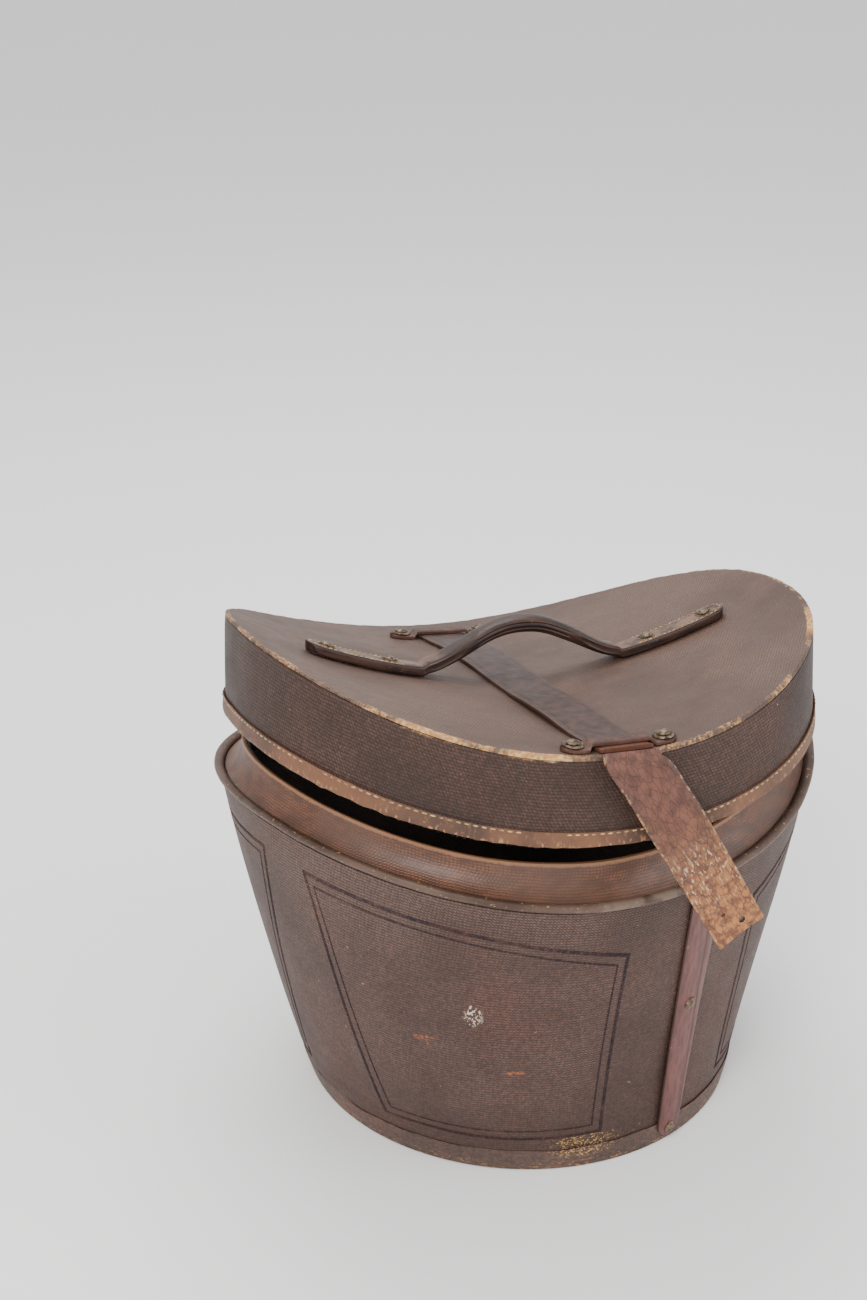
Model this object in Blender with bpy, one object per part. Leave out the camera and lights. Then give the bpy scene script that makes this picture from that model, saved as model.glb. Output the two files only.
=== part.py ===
"""Oval leather hat box: a tapered bucket with a raised collar, and a loose saddle-shaped lid
that has been set down askew on it.  Metres, +Z up, origin at the middle of the base.

X runs along the handle when the lid is seated; -Y is the front, where the strap hangs.
"""
from math import cos, pi, sin

import bmesh
import bpy
from mathutils import Matrix, Vector

SIDES = 56                      # facets round each oval shell

# The bucket: an oval that is almost round at the base and longer along X at the mouth.
BASE_A, BASE_B = 0.1357, 0.1417
MOUTH_A, MOUTH_B = 0.1850, 0.1699
BULGE_A, BULGE_B = 0.0049, -0.0012
BASE_POWER, MOUTH_POWER = 2.01, 2.25    # 2 is a true ellipse, more is squarer
MOUTH_Z = 0.2004                # ridge height at the middle of the long sides
MOUTH_SADDLE = 0.0323           # extra ridge height at the two ends

WALL = 0.0035                   # board with its leathercloth
SKIN = 0.0010                   # lining cloth
GAP = 0.0003                    # between pieces that touch
ON_LID = 0.0006                 # under pieces laid on the lid's curved top
BASE_BOARD = 0.0045
BINDING_H, BINDING_T = 0.016, 0.0008
PIPING_R = 0.0030
COLLAR_BOARD = 0.0025
COLLAR_INSET, COLLAR_H, COLLAR_TUCK = 0.0146, 0.0212, 0.016

# The lid, described where it would sit if it were straight on the box.
LID_INSET, LID_TAPER = 0.0089, 0.0020   # skirt inside the ridge line, and its lean to the top
LID_SEAT = 0.0030
LID_WARP = 0.0116               # the old lid curls up at its ends more than the ridge does
SKIRT_H, SKIRT_END = 0.0501, 0.0142
SKIRT_T = 0.0025
TOP_T, TOP_CROWN = 0.0030, 0.0045
STITCH_BAND_H, STITCH_BAND_T = 0.0085, 0.0010

# Where the loose lid lies: turned, tipped up at the front and left, and a little forward.
LID_TURN = (-0.1490, 0.0899, -0.3596)   # rotation vector about the middle of the back edge
LID_SHIFT = (0.0331, -0.0429, 0.0002)

STRIP_TOP_W, STRIP_END_W, STRIP_T = 0.024, 0.017, 0.0018
STRIP_SPAN_Q = (0.965, 0.022)    # top and bottom ends of the strip, as fractions of the height
STRIP_RIVET_Q = (0.93, 0.545, 0.055)
STRAP_W, STRAP_T = 0.031, 0.0022
STRAP_Y = (0.118, -0.1560)
STRAP_OFFSET, STRAP_BEND = -0.008, 3.3   # the strap lies left of the middle and bends right
FRONT_KEEPER_Y, BACK_KEEPER_Y = -0.1480, 0.1100
KEEPER_SPAN, KEEPER_W, KEEPER_T = 0.0268, 0.0140, 0.0020
KEEPER_CLEAR, KEEPER_FLANK = 0.0010, 0.0034   # room beside the strap, and the slope down
RIVET_R, RIVET_H = 0.0042, 0.0020
WASHER_R, WASHER_T = 0.0064, 0.0009

HANDLE_END, HANDLE_TAB, HANDLE_RISE = 0.1335, 0.074, 0.0275
HANDLE_Y = -0.005               # the handle is fixed a little in front of the middle
TAB_W, TAB_T = 0.0170, 0.0064
GRIP_W, GRIP_T = 0.0150, 0.0105
TAB_RIVET_X = (0.0825, 0.1207)

TONGUE_DROP, TONGUE_SIDE, TONGUE_OUT = 0.1110, 0.0625, 0.0180
TONGUE_W, TONGUE_END_W = 0.0340, 0.0315

WALL_LEATHER = ((0.105, 0.062, 0.048), 0.62)
COLLAR_LEATHER = ((0.190, 0.105, 0.068), 0.50)
LID_LEATHER = ((0.150, 0.105, 0.088), 0.60)
STRIP_LEATHER = ((0.160, 0.082, 0.070), 0.50)
STRAP_LEATHER = ((0.220, 0.085, 0.045), 0.45)
HANDLE_LEATHER = ((0.055, 0.028, 0.022), 0.40)
LINING_CLOTH = ((0.030, 0.020, 0.018), 0.90)
BINDING_LEATHER = ((0.200, 0.120, 0.080), 0.60)
BRASS = ((0.230, 0.170, 0.110), 0.40)


def clear_scene():
    for old in list(bpy.data.objects):
        bpy.data.objects.remove(old, do_unlink=True)


def material(name, look, metallic=0.0):
    mat = bpy.data.materials.new(name)
    mat.use_nodes = True
    shader = mat.node_tree.nodes["Principled BSDF"]
    shader.inputs["Base Color"].default_value = (*look[0], 1.0)
    shader.inputs["Roughness"].default_value = look[1]
    shader.inputs["Metallic"].default_value = metallic
    return mat


def add_object(name, points, faces, look, metallic=0.0, frame=None):
    mesh = bpy.data.meshes.new(name)
    mesh.from_pydata([tuple(p) for p in points], [], faces)
    shape = bmesh.new()
    shape.from_mesh(mesh)
    bmesh.ops.recalc_face_normals(shape, faces=shape.faces)
    shape.to_mesh(mesh)
    shape.free()
    mesh.shade_smooth()
    mesh.set_sharp_from_angle(angle=0.6)
    mesh.materials.append(material(name + "_finish", look, metallic))
    obj = bpy.data.objects.new(name, mesh)
    bpy.context.collection.objects.link(obj)
    obj.parent = frame
    return obj


# ---------------------------------------------------------------- shapes

def power(value, exponent):
    return abs(value) ** exponent * (1 if value >= 0 else -1)


def oval_point(a, b, n, turn):
    return a * power(cos(turn), 2 / n), b * power(sin(turn), 2 / n)


def oval(a, b, n):
    return [oval_point(a, b, n, 2 * pi * (i + 0.5) / SIDES) for i in range(SIDES)]


def saddle(x, rise):
    return rise * (x / MOUTH_A) ** 2


def body_axes(q, grow):
    belly = 4 * q * (1 - q)
    a = BASE_A + (MOUTH_A - BASE_A) * q + BULGE_A * belly + grow
    b = BASE_B + (MOUTH_B - BASE_B) * q + BULGE_B * belly + grow
    return a, b, BASE_POWER + (MOUTH_POWER - BASE_POWER) * q


def body_height(x, q, lift=0.0):
    return (MOUTH_Z + saddle(x, MOUTH_SADDLE)) * q + lift


def body_ring(q, grow, lift=0.0):
    """Ring round the bucket at fraction q of its height, grown outwards by grow."""
    return [(x, y, body_height(x, q, lift)) for x, y in oval(*body_axes(q, grow))]


def lid_foot(x):
    return MOUTH_Z + LID_SEAT + saddle(x, MOUTH_SADDLE + LID_WARP)


def lid_ring(v, grow, lift=0.0):
    """Ring round the lid's skirt, v running from its lower edge (0) to the top (1)."""
    inset = LID_INSET + LID_TAPER * v
    ring = oval(MOUTH_A - inset + grow, MOUTH_B - inset + grow, MOUTH_POWER)
    return [(x, y, lid_foot(x) + v * (SKIRT_H + saddle(x, SKIRT_END)) + lift) for x, y in ring]


def lid_top_z(x, y):
    """Outer surface of the lid's top: a saddle with a low crown."""
    a = MOUTH_A - LID_INSET - LID_TAPER
    b = MOUTH_B - LID_INSET - LID_TAPER
    spread = min((x / a) ** 2 + (y / b) ** 2, 1.0)
    return lid_foot(x) + SKIRT_H + saddle(x, SKIRT_END) + TOP_CROWN * (1 - spread)


def ring_shell(name, rings, look, frame=None):
    """Closed shell through rings that go once round its profile (outside up, inside down)."""
    points = [p for ring in rings for p in ring]
    count = len(rings)
    faces = []
    for r in range(count):
        s = (r + 1) % count
        for i in range(SIDES):
            j = (i + 1) % SIDES
            faces.append((r * SIDES + i, r * SIDES + j, s * SIDES + j, s * SIDES + i))
    return add_object(name, points, faces, look, frame=frame)


def disc_shell(name, low_rings, low_centre, high_rings, high_centre, look, frame=None):
    """Closed plate: rings from the middle of the underside to the rim and back over the top."""
    rings = low_rings + high_rings
    points = [low_centre] + [p for ring in rings for p in ring] + [high_centre]
    last = len(points) - 1
    faces = []
    for i in range(SIDES):
        j = (i + 1) % SIDES
        faces.append((0, 1 + j, 1 + i))
        for r in range(len(rings) - 1):
            a, b = 1 + r * SIDES, 1 + (r + 1) * SIDES
            faces.append((a + i, a + j, b + j, b + i))
        end = 1 + (len(rings) - 1) * SIDES
        faces.append((end + i, end + j, last))
    return add_object(name, points, faces, look, frame=frame)


def slab(name, low, high, look, frame=None, metallic=0.0):
    """Closed solid between two grids of points (rows along the piece, columns across it)."""
    rows, cols = len(low), len(low[0])
    points = [p for row in low for p in row] + [p for row in high for p in row]
    top = rows * cols
    faces = []
    for r in range(rows - 1):
        for c in range(cols - 1):
            i = r * cols + c
            faces.append((i, i + cols, i + cols + 1, i + 1))
            faces.append((top + i, top + i + 1, top + i + cols + 1, top + i + cols))
    rim = [c for c in range(cols)] + [r * cols + cols - 1 for r in range(1, rows)]
    rim += [(rows - 1) * cols + c for c in range(cols - 2, -1, -1)]
    rim += [r * cols for r in range(rows - 2, 0, -1)]
    for k, i in enumerate(rim):
        j = rim[(k + 1) % len(rim)]
        faces.append((i, j, top + j, top + i))
    return add_object(name, points, faces, look, frame=frame, metallic=metallic)


def turned(name, profile, place, axis, look, frame=None, sides=12, metallic=1.0):
    """Small round piece: profile (radius, height) points turned round axis at place."""
    axis = Vector(axis).normalized()
    matrix = Matrix.Translation(place) @ axis.to_track_quat("Z", "Y").to_matrix().to_4x4()
    points = []
    for radius, height in profile:
        for i in range(sides):
            turn = 2 * pi * i / sides
            points.append(matrix @ Vector((radius * cos(turn), radius * sin(turn), height)))
    last = (len(profile) - 1) * sides
    faces = [tuple(range(sides - 1, -1, -1)), tuple(last + i for i in range(sides))]
    for r in range(len(profile) - 1):
        for i in range(sides):
            j = (i + 1) % sides
            a, b = r * sides, (r + 1) * sides
            faces.append((a + i, a + j, b + j, b + i))
    return add_object(name, points, faces, look, metallic=metallic, frame=frame)


def rivet(name, place, axis, frame=None):
    dome = [(RIVET_R, 0.0), (RIVET_R, 0.35 * RIVET_H), (0.72 * RIVET_R, 0.85 * RIVET_H),
            (0.30 * RIVET_R, RIVET_H)]
    return turned(name, dome, place, axis, BRASS, frame)


# ---------------------------------------------------------------- the bucket

def base():
    top = BASE_BOARD
    q = BASE_BOARD / MOUTH_Z
    low = [(x, y, 0.0) for x, y, z in body_ring(0.0, -WALL - GAP)]
    high = [(x, y, top) for x, y, z in body_ring(q, -WALL - GAP)]
    disc_shell("base_board", [low], (0, 0, 0), [high], (0, 0, top), WALL_LEATHER)
    foot = top + GAP
    low = [(x, y, foot) for x, y, z in body_ring(q, -WALL - 4 * GAP)]
    high = [(x, y, foot + SKIN) for x, y, z in body_ring(q, -WALL - 4 * GAP)]
    disc_shell("base_lining", [low], (0, 0, foot), [high], (0, 0, foot + SKIN), LINING_CLOTH)


def wall():
    heights = [0.0, 0.14, 0.30, 0.46, 0.62, 0.80]
    top = 1 - (PIPING_R + 2 * GAP) / MOUTH_Z
    rings = [body_ring(q, 0.0) for q in heights + [top]]
    rings += [body_ring(q, -WALL) for q in [top] + heights[::-1]]
    ring_shell("body_wall", rings, WALL_LEATHER)


def bottom_binding():
    foot, top = 0.004, BINDING_H / MOUTH_Z
    rings = [body_ring(foot, GAP + BINDING_T), body_ring(top, GAP + BINDING_T)]
    rings += [body_ring(top, GAP), body_ring(foot, GAP)]
    ring_shell("bottom_binding", rings, BINDING_LEATHER)


def ridge_piping():
    rings = []
    for k in range(8):
        turn = 2 * pi * k / 8 + pi / 8
        rings.append(body_ring(1.0, PIPING_R * cos(turn), PIPING_R * sin(turn)))
    ring_shell("ridge_piping", rings, BINDING_LEATHER)


def collar_profile(offset):
    """Outside of the collar, tuck to rim, as (inset from the ridge, height over it)."""
    tuck = WALL + GAP
    return [(tuck + offset, -COLLAR_TUCK), (tuck + offset, -PIPING_R),
            (tuck + offset, 0.0005), (0.0066 + offset, 0.0036 - 0.7 * offset),
            (0.0104 + offset, 0.0078 - 0.5 * offset), (0.0130 + offset, 0.0138 - 0.3 * offset),
            (COLLAR_INSET + offset, COLLAR_H)]


def collar_ring(inset, lift):
    """Ring at an inset from the bucket's outside; below the ridge it follows the taper."""
    if lift < 0:
        return body_ring(1 + lift / MOUTH_Z, -inset)
    return body_ring(1.0, -inset, lift)


def collar():
    outside = [collar_ring(inset, lift) for inset, lift in collar_profile(0.0)]
    inside = [collar_ring(inset, lift) for inset, lift in collar_profile(COLLAR_BOARD)]
    ring_shell("collar", outside + inside[::-1], COLLAR_LEATHER)


def body_lining():
    clear = WALL + GAP + COLLAR_BOARD + GAP
    heights = [0.040, 0.20, 0.40, 0.60, 0.80]
    profile = collar_profile(COLLAR_BOARD + GAP)[1:]
    profile[-1] = (profile[-1][0], COLLAR_H - 0.001)
    outside = [body_ring(q, -clear) for q in heights]
    outside += [collar_ring(inset, lift) for inset, lift in profile]
    inside = [body_ring(q, -clear - SKIN) for q in heights]
    inside += [collar_ring(inset + SKIN, lift) for inset, lift in profile]
    ring_shell("body_lining", outside + inside[::-1], LINING_CLOTH)


def wall_point(x, q, out, side):
    """Point on the front (side -1) or back (side 1) of the bucket, moved outwards by out."""
    a, b, n = body_axes(q, out)
    y = b * (1 - (abs(x) / a) ** n) ** (1 / n)
    return (x, side * y, body_height(x, q))


def seam_strip(name, side):
    """Riveted strip down the wall that covers the joint of the board."""
    under = GAP + BINDING_T + GAP
    top_q, end_q = STRIP_SPAN_Q
    low, high = [], []
    for k in range(11):
        q = top_q + (end_q - top_q) * k / 10
        width = STRIP_TOP_W + (STRIP_END_W - STRIP_TOP_W) * k / 10
        if k == 10:
            width *= 0.62
        row = [width * (c / 4 - 0.5) * -side for c in range(5)]
        low.append([wall_point(x, q, under, side) for x in row])
        high.append([wall_point(x, q, under + STRIP_T, side) for x in row])
    slab(name, low, high, STRIP_LEATHER)
    label = name.split("_")[0]
    for place, q in zip(("top", "middle", "bottom"), STRIP_RIVET_Q):
        below = Vector(wall_point(0, q - 0.02, 0, side))
        above = Vector(wall_point(0, q + 0.02, 0, side))
        outwards = Vector((side, 0, 0)).cross(below - above).normalized()
        head = Vector(wall_point(0, q, under + STRIP_T + GAP, side)) + outwards * 0.0001
        rivet(f"{label}_strip_rivet_{place}", head, outwards)


# ---------------------------------------------------------------- the lid

def lid_frame():
    """Empty that holds the lid where it lies, turned about the middle of its back edge."""
    pivot = Vector((0.0, MOUTH_B, MOUTH_Z))
    turn = Vector(LID_TURN)
    spin = Matrix.Rotation(turn.length, 4, turn.normalized())
    move = Matrix.Translation(pivot + Vector(LID_SHIFT)) @ spin @ Matrix.Translation(-pivot)
    frame = bpy.data.objects.new("lid_frame", None)
    bpy.context.collection.objects.link(frame)
    frame.matrix_world = move
    return frame, move


def lid_skirt(frame):
    under = -TOP_T - GAP
    steps = [0.0, 0.35, 0.70]
    rings = [lid_ring(v, 0.0) for v in steps] + [lid_ring(1.0, 0.0, under)]
    rings += [lid_ring(1.0, -SKIRT_T, under)] + [lid_ring(v, -SKIRT_T) for v in steps[::-1]]
    ring_shell("lid_skirt", rings, WALL_LEATHER, frame)


def lid_band(frame):
    top = STITCH_BAND_H / SKIRT_H
    grow = GAP + STITCH_BAND_T
    rings = [lid_ring(0.0, grow, -0.0006), lid_ring(top, grow), lid_ring(top, GAP)]
    rings += [lid_ring(0.0, GAP, -0.0006)]
    ring_shell("lid_stitched_band", rings, BINDING_LEATHER, frame)


def lid_skirt_lining(frame):
    out = -SKIRT_T - GAP
    under = -TOP_T - 5 * GAP - SKIN
    steps = [0.03, 0.50]
    rings = [lid_ring(v, out) for v in steps] + [lid_ring(1.0, out, under)]
    rings += [lid_ring(1.0, out - SKIN, under)]
    rings += [lid_ring(v, out - SKIN) for v in steps[::-1]]
    ring_shell("lid_skirt_lining", rings, LINING_CLOTH, frame)


def top_ring(share, drop, inset=0.0):
    """Ring on the lid's top at a share of the way out from its middle."""
    a = (MOUTH_A - LID_INSET - LID_TAPER - inset) * share
    b = (MOUTH_B - LID_INSET - LID_TAPER - inset) * share
    return [(x, y, lid_top_z(x, y) - drop) for x, y in oval(a, b, MOUTH_POWER)]


def lid_plate(name, inset, drop, thick, round_edge, rings, look, frame):
    """Plate under the lid's outer surface, with the given number of rings on its upper side."""
    low = [top_ring(s, drop + thick, inset) for s in (0.25, 0.50, 0.75, 1.0)]
    shares = [k / rings for k in range(1, rings)]
    edge = [top_ring(1.0, drop + round_edge, inset), top_ring(0.988, drop, inset)]
    high = edge + [top_ring(s, drop, inset) for s in shares[::-1]]
    centre = lid_top_z(0, 0) - drop
    disc_shell(name, low, (0, 0, centre - thick), high, (0, 0, centre), look, frame)


def lid_surface(x, y, lift):
    return (x, y, lid_top_z(x, y) + lift)


def strap_x(y):
    return STRAP_OFFSET - STRAP_BEND * y ** 3


def lid_strap(frame):
    start, end = STRAP_Y
    low, high = [], []
    for k in range(13):
        y = start + (end - start) * k / 12
        row = [strap_x(y) + STRAP_W * (c / 4 - 0.5) for c in range(5)]
        low.append([lid_surface(x, y, ON_LID) for x in row])
        high.append([lid_surface(x, y, ON_LID + STRAP_T) for x in row])
    slab("lid_strap", low, high, STRAP_LEATHER, frame)


def keeper(name, y, frame):
    """Narrow leather loop across the strap, riveted to the lid at both ends."""
    middle = strap_x(y)
    reach = KEEPER_SPAN + KEEPER_W / 2
    low, high = [], []
    for k in range(21):
        s = 2 * k / 20 - 1
        x = middle + reach * s
        flank = (abs(s) * reach - STRAP_W / 2 - KEEPER_CLEAR) / KEEPER_FLANK
        hump = 1 - min(max(flank, 0.0), 1.0)
        lift = ON_LID + (STRAP_T + 2 * GAP) * hump
        past = max(abs(s) * reach - KEEPER_SPAN, 0.0)
        half = max(((KEEPER_W / 2) ** 2 - past ** 2) ** 0.5 if past < KEEPER_W / 2 else 0.0, 0.002)
        half *= 1 - 0.30 * hump
        row = [y + half * (c / 2 - 1) for c in range(5)]
        low.append([lid_surface(x, t, lift) for t in row])
        high.append([lid_surface(x, t, lift + KEEPER_T) for t in row])
    slab(name, high, low, STRAP_LEATHER, frame)
    for label, sign in (("left", -1), ("right", 1)):
        x = middle + sign * KEEPER_SPAN
        place = Vector(lid_surface(x, y, ON_LID + KEEPER_T + 2 * GAP))
        up = surface_normal(x, y)
        ring_plate(f"{name}_washer_{label}", place, up, frame)
        rivet(f"{name}_rivet_{label}", place + up * (WASHER_T + GAP), up, frame)


def surface_normal(x, y):
    step = 0.002
    along = Vector(lid_surface(x + step, y, 0)) - Vector(lid_surface(x - step, y, 0))
    across = Vector(lid_surface(x, y + step, 0)) - Vector(lid_surface(x, y - step, 0))
    return along.cross(across).normalized()


def ring_plate(name, place, up, frame):
    profile = [(WASHER_R, 0.0), (WASHER_R, 0.6 * WASHER_T), (0.8 * WASHER_R, WASHER_T)]
    turned(name, profile, place, up, BRASS, frame, sides=16)


def handle_section(x):
    """Half width, thickness and height of the handle's underside over the lid at x."""
    reach = min(abs(x) / HANDLE_TAB, 1.0)
    arch = 0.5 + 0.5 * cos(pi * reach)
    width = TAB_W + (GRIP_W - TAB_W) * arch
    thick = TAB_T + (GRIP_T - TAB_T) * min(1.6 * arch, 1.0)
    return width / 2, thick, ON_LID + HANDLE_RISE * arch


def handle(frame):
    """Thick stitched leather handle: flat riveted ends and a rounded, raised grip."""
    low, high = [], []
    count = 32
    for k in range(count + 1):
        s = 2 * k / count - 1
        x = HANDLE_END * s
        half, thick, lift = handle_section(x)
        if k in (0, count):
            half *= 0.55
        round_off = 0.30 * thick * (1 - min(abs(x) / HANDLE_TAB, 1.0) ** 4) + 0.0006
        row = [HANDLE_Y + half * (c / 2 - 1) for c in range(5)]
        bevel = [round_off, 0.12 * round_off, 0, 0.12 * round_off, round_off]
        base_z = lid_top_z(x, HANDLE_Y) + lift
        if lift < 0.002:
            low.append([lid_surface(x, y, ON_LID) for y in row])
            high.append([lid_surface(x, y, ON_LID + thick - b) for y, b in zip(row, bevel)])
        else:
            low.append([(x, y, base_z + b) for y, b in zip(row, bevel)])
            high.append([(x, y, base_z + thick - b) for y, b in zip(row, bevel)])
    slab("handle", high, low, HANDLE_LEATHER, frame)
    for side, sign in (("left", -1), ("right", 1)):
        for label, x in zip(("inner", "outer"), TAB_RIVET_X):
            x *= sign
            place = Vector(lid_surface(x, HANDLE_Y, ON_LID + TAB_T + 2 * GAP))
            rivet(f"handle_rivet_{side}_{label}", place, surface_normal(x, HANDLE_Y), frame)


# ---------------------------------------------------------------- the hanging strap end

def tongue_fold():
    y = -(MOUTH_B - LID_INSET - LID_TAPER)
    return Vector((strap_x(y), y, lid_top_z(strap_x(y), y)))


def strap_tongue(move):
    """Free end of the strap: over the lid's front edge, then down, drawn to one side."""
    fold = move @ tongue_fold()
    spin = move.to_3x3()
    side = (spin @ Vector((1, 0, 0))).normalized()
    out = side.cross(Vector((0, 0, 1))).normalized()
    up = spin @ Vector((0, 0, 1))
    path = [out * 0.0010 + up * 0.0013, out * 0.0056 - up * 0.0022]
    for share, reach in ((0.10, 0.56), (0.24, 0.78), (0.42, 0.99), (0.60, 1.03), (0.80, 1.03), (1, 1)):
        drop, slide = TONGUE_DROP * share, TONGUE_SIDE * share
        path.append(out * TONGUE_OUT * reach + side * slide + Vector((0, 0, -drop)))
    low, high = [], []
    for k, middle in enumerate(path):
        ahead = path[min(k + 1, len(path) - 1)]
        behind = path[max(k - 1, 0)]
        run = (ahead - behind).normalized()
        blend = min(k / 4, 1.0)
        face = up.lerp(out + Vector((0, 0, 0.15)), min((k + 0.3) / 2, 1.0))
        across = side.lerp(face.cross(run).normalized(), blend).normalized()
        normal = run.cross(across).normalized()
        width = TONGUE_W + (TONGUE_END_W - TONGUE_W) * k / (len(path) - 1)
        row = [middle + across * width * (c / 4 - 0.5) for c in range(5)]
        low.append([p - normal * STRAP_T / 2 for p in row])
        high.append([p + normal * STRAP_T / 2 for p in row])
    tongue = slab("strap_tongue", low, high, STRAP_LEATHER)
    tongue.location = fold
    return tongue


def build():
    clear_scene()
    base()
    wall()
    bottom_binding()
    ridge_piping()
    collar()
    body_lining()
    seam_strip("front_strip", -1)
    seam_strip("back_strip", 1)
    frame, move = lid_frame()
    lid_skirt(frame)
    lid_band(frame)
    lid_skirt_lining(frame)
    lid_plate("lid_top", 0.0, 0.0, TOP_T, 0.0012, 10, LID_LEATHER, frame)
    inset, drop = SKIRT_T + 2 * GAP, TOP_T + 3 * GAP
    lid_plate("lid_top_lining", inset, drop, SKIN, 0.0004, 4, LINING_CLOTH, frame)
    lid_strap(frame)
    keeper("front_keeper", FRONT_KEEPER_Y, frame)
    keeper("back_keeper", BACK_KEEPER_Y, frame)
    handle(frame)
    strap_tongue(move)


build()
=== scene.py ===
"""Looks of the oval leather hat box: fine shells, straps, stitches and worn leather.

Metres, +Z up, origin at the middle of the base.  The lid's pieces are made where the lid would
sit if it were straight, then placed by LID_PLACE, as the CAD's lid is.
"""

from math import cos, pi, radians, sin

import bmesh
import bpy
from mathutils import Matrix, Vector, noise


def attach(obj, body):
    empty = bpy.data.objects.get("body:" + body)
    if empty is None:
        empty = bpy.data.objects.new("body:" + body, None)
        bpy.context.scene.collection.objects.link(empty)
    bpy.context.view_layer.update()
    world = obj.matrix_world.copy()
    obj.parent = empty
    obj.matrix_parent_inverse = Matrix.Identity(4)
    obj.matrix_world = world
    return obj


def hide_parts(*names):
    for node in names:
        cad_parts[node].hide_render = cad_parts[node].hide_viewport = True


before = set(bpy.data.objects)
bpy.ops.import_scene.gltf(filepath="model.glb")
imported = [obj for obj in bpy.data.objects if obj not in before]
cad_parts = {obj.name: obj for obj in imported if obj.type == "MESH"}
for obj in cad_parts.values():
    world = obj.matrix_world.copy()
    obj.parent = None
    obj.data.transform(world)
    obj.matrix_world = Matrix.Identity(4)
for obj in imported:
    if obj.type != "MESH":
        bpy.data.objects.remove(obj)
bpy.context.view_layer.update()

# ---------------------------------------------------------------- the CAD's driving sizes

BASE_A, BASE_B = 0.1357, 0.1417
MOUTH_A, MOUTH_B = 0.1850, 0.1699
BULGE_A, BULGE_B = 0.0049, -0.0012
BASE_POWER, MOUTH_POWER = 2.01, 2.25
MOUTH_Z, MOUTH_SADDLE = 0.2004, 0.0323
WALL, SKIN, GAP, ON_LID = 0.0035, 0.0010, 0.0003, 0.0006
BASE_BOARD = 0.0045
BINDING_H, BINDING_T = 0.016, 0.0008
PIPING_R = 0.0030
COLLAR_BOARD, COLLAR_H, COLLAR_TUCK = 0.0025, 0.0212, 0.016
LID_INSET, LID_TAPER, LID_SEAT, LID_WARP = 0.0089, 0.0020, 0.0030, 0.0116
SKIRT_H, SKIRT_END, SKIRT_T = 0.0501, 0.0142, 0.0025
TOP_T, TOP_CROWN = 0.0030, 0.0045
BAND_H, BAND_T = 0.0085, 0.0010
LID_TURN = Vector((-0.1490, 0.0899, -0.3596))
LID_SHIFT = Vector((0.0331, -0.0429, 0.0002))
STRIP_TOP_W, STRIP_END_W, STRIP_T = 0.024, 0.017, 0.0018
STRIP_SPAN_Q, STRIP_RIVET_Q = (0.965, 0.022), (0.93, 0.545, 0.055)
STRAP_W, STRAP_T, STRAP_Y = 0.031, 0.0022, (0.118, -0.1560)
STRAP_OFFSET, STRAP_BEND = -0.008, 3.3
FRONT_KEEPER_Y, BACK_KEEPER_Y = -0.1480, 0.1100
KEEPER_SPAN, KEEPER_W, KEEPER_T = 0.0268, 0.0140, 0.0020
KEEPER_CLEAR, KEEPER_FLANK = 0.0010, 0.0034
RIVET_R, RIVET_H, WASHER_R, WASHER_T = 0.0042, 0.0020, 0.0064, 0.0009
HANDLE_END, HANDLE_TAB, HANDLE_RISE = 0.1335, 0.074, 0.0275
HANDLE_Y = -0.005
TAB_W, TAB_T, GRIP_W, GRIP_T = 0.0170, 0.0064, 0.0150, 0.0105
TAB_RIVET_X = (0.0825, 0.1207)
TONGUE_DROP, TONGUE_SIDE, TONGUE_OUT = 0.1110, 0.0625, 0.0180
TONGUE_W, TONGUE_END_W = 0.0340, 0.0315

COLS = 240                      # columns round each fine shell
STITCH_PITCH, STITCH_LONG, STITCH_R, STITCH_UP = 0.0047, 0.0036, 0.00048, 0.0070
RUBBED_EDGE = ((-0.098, -0.128, 0.030), (-0.045, -0.152, 0.026), (0.159, -0.075, 0.026))
PIVOT = Vector((0.0, MOUTH_B, MOUTH_Z))
LID_PLACE = (Matrix.Translation(PIVOT + LID_SHIFT)
             @ Matrix.Rotation(LID_TURN.length, 4, LID_TURN.normalized())
             @ Matrix.Translation(-PIVOT))


# ---------------------------------------------------------------- materials

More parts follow.
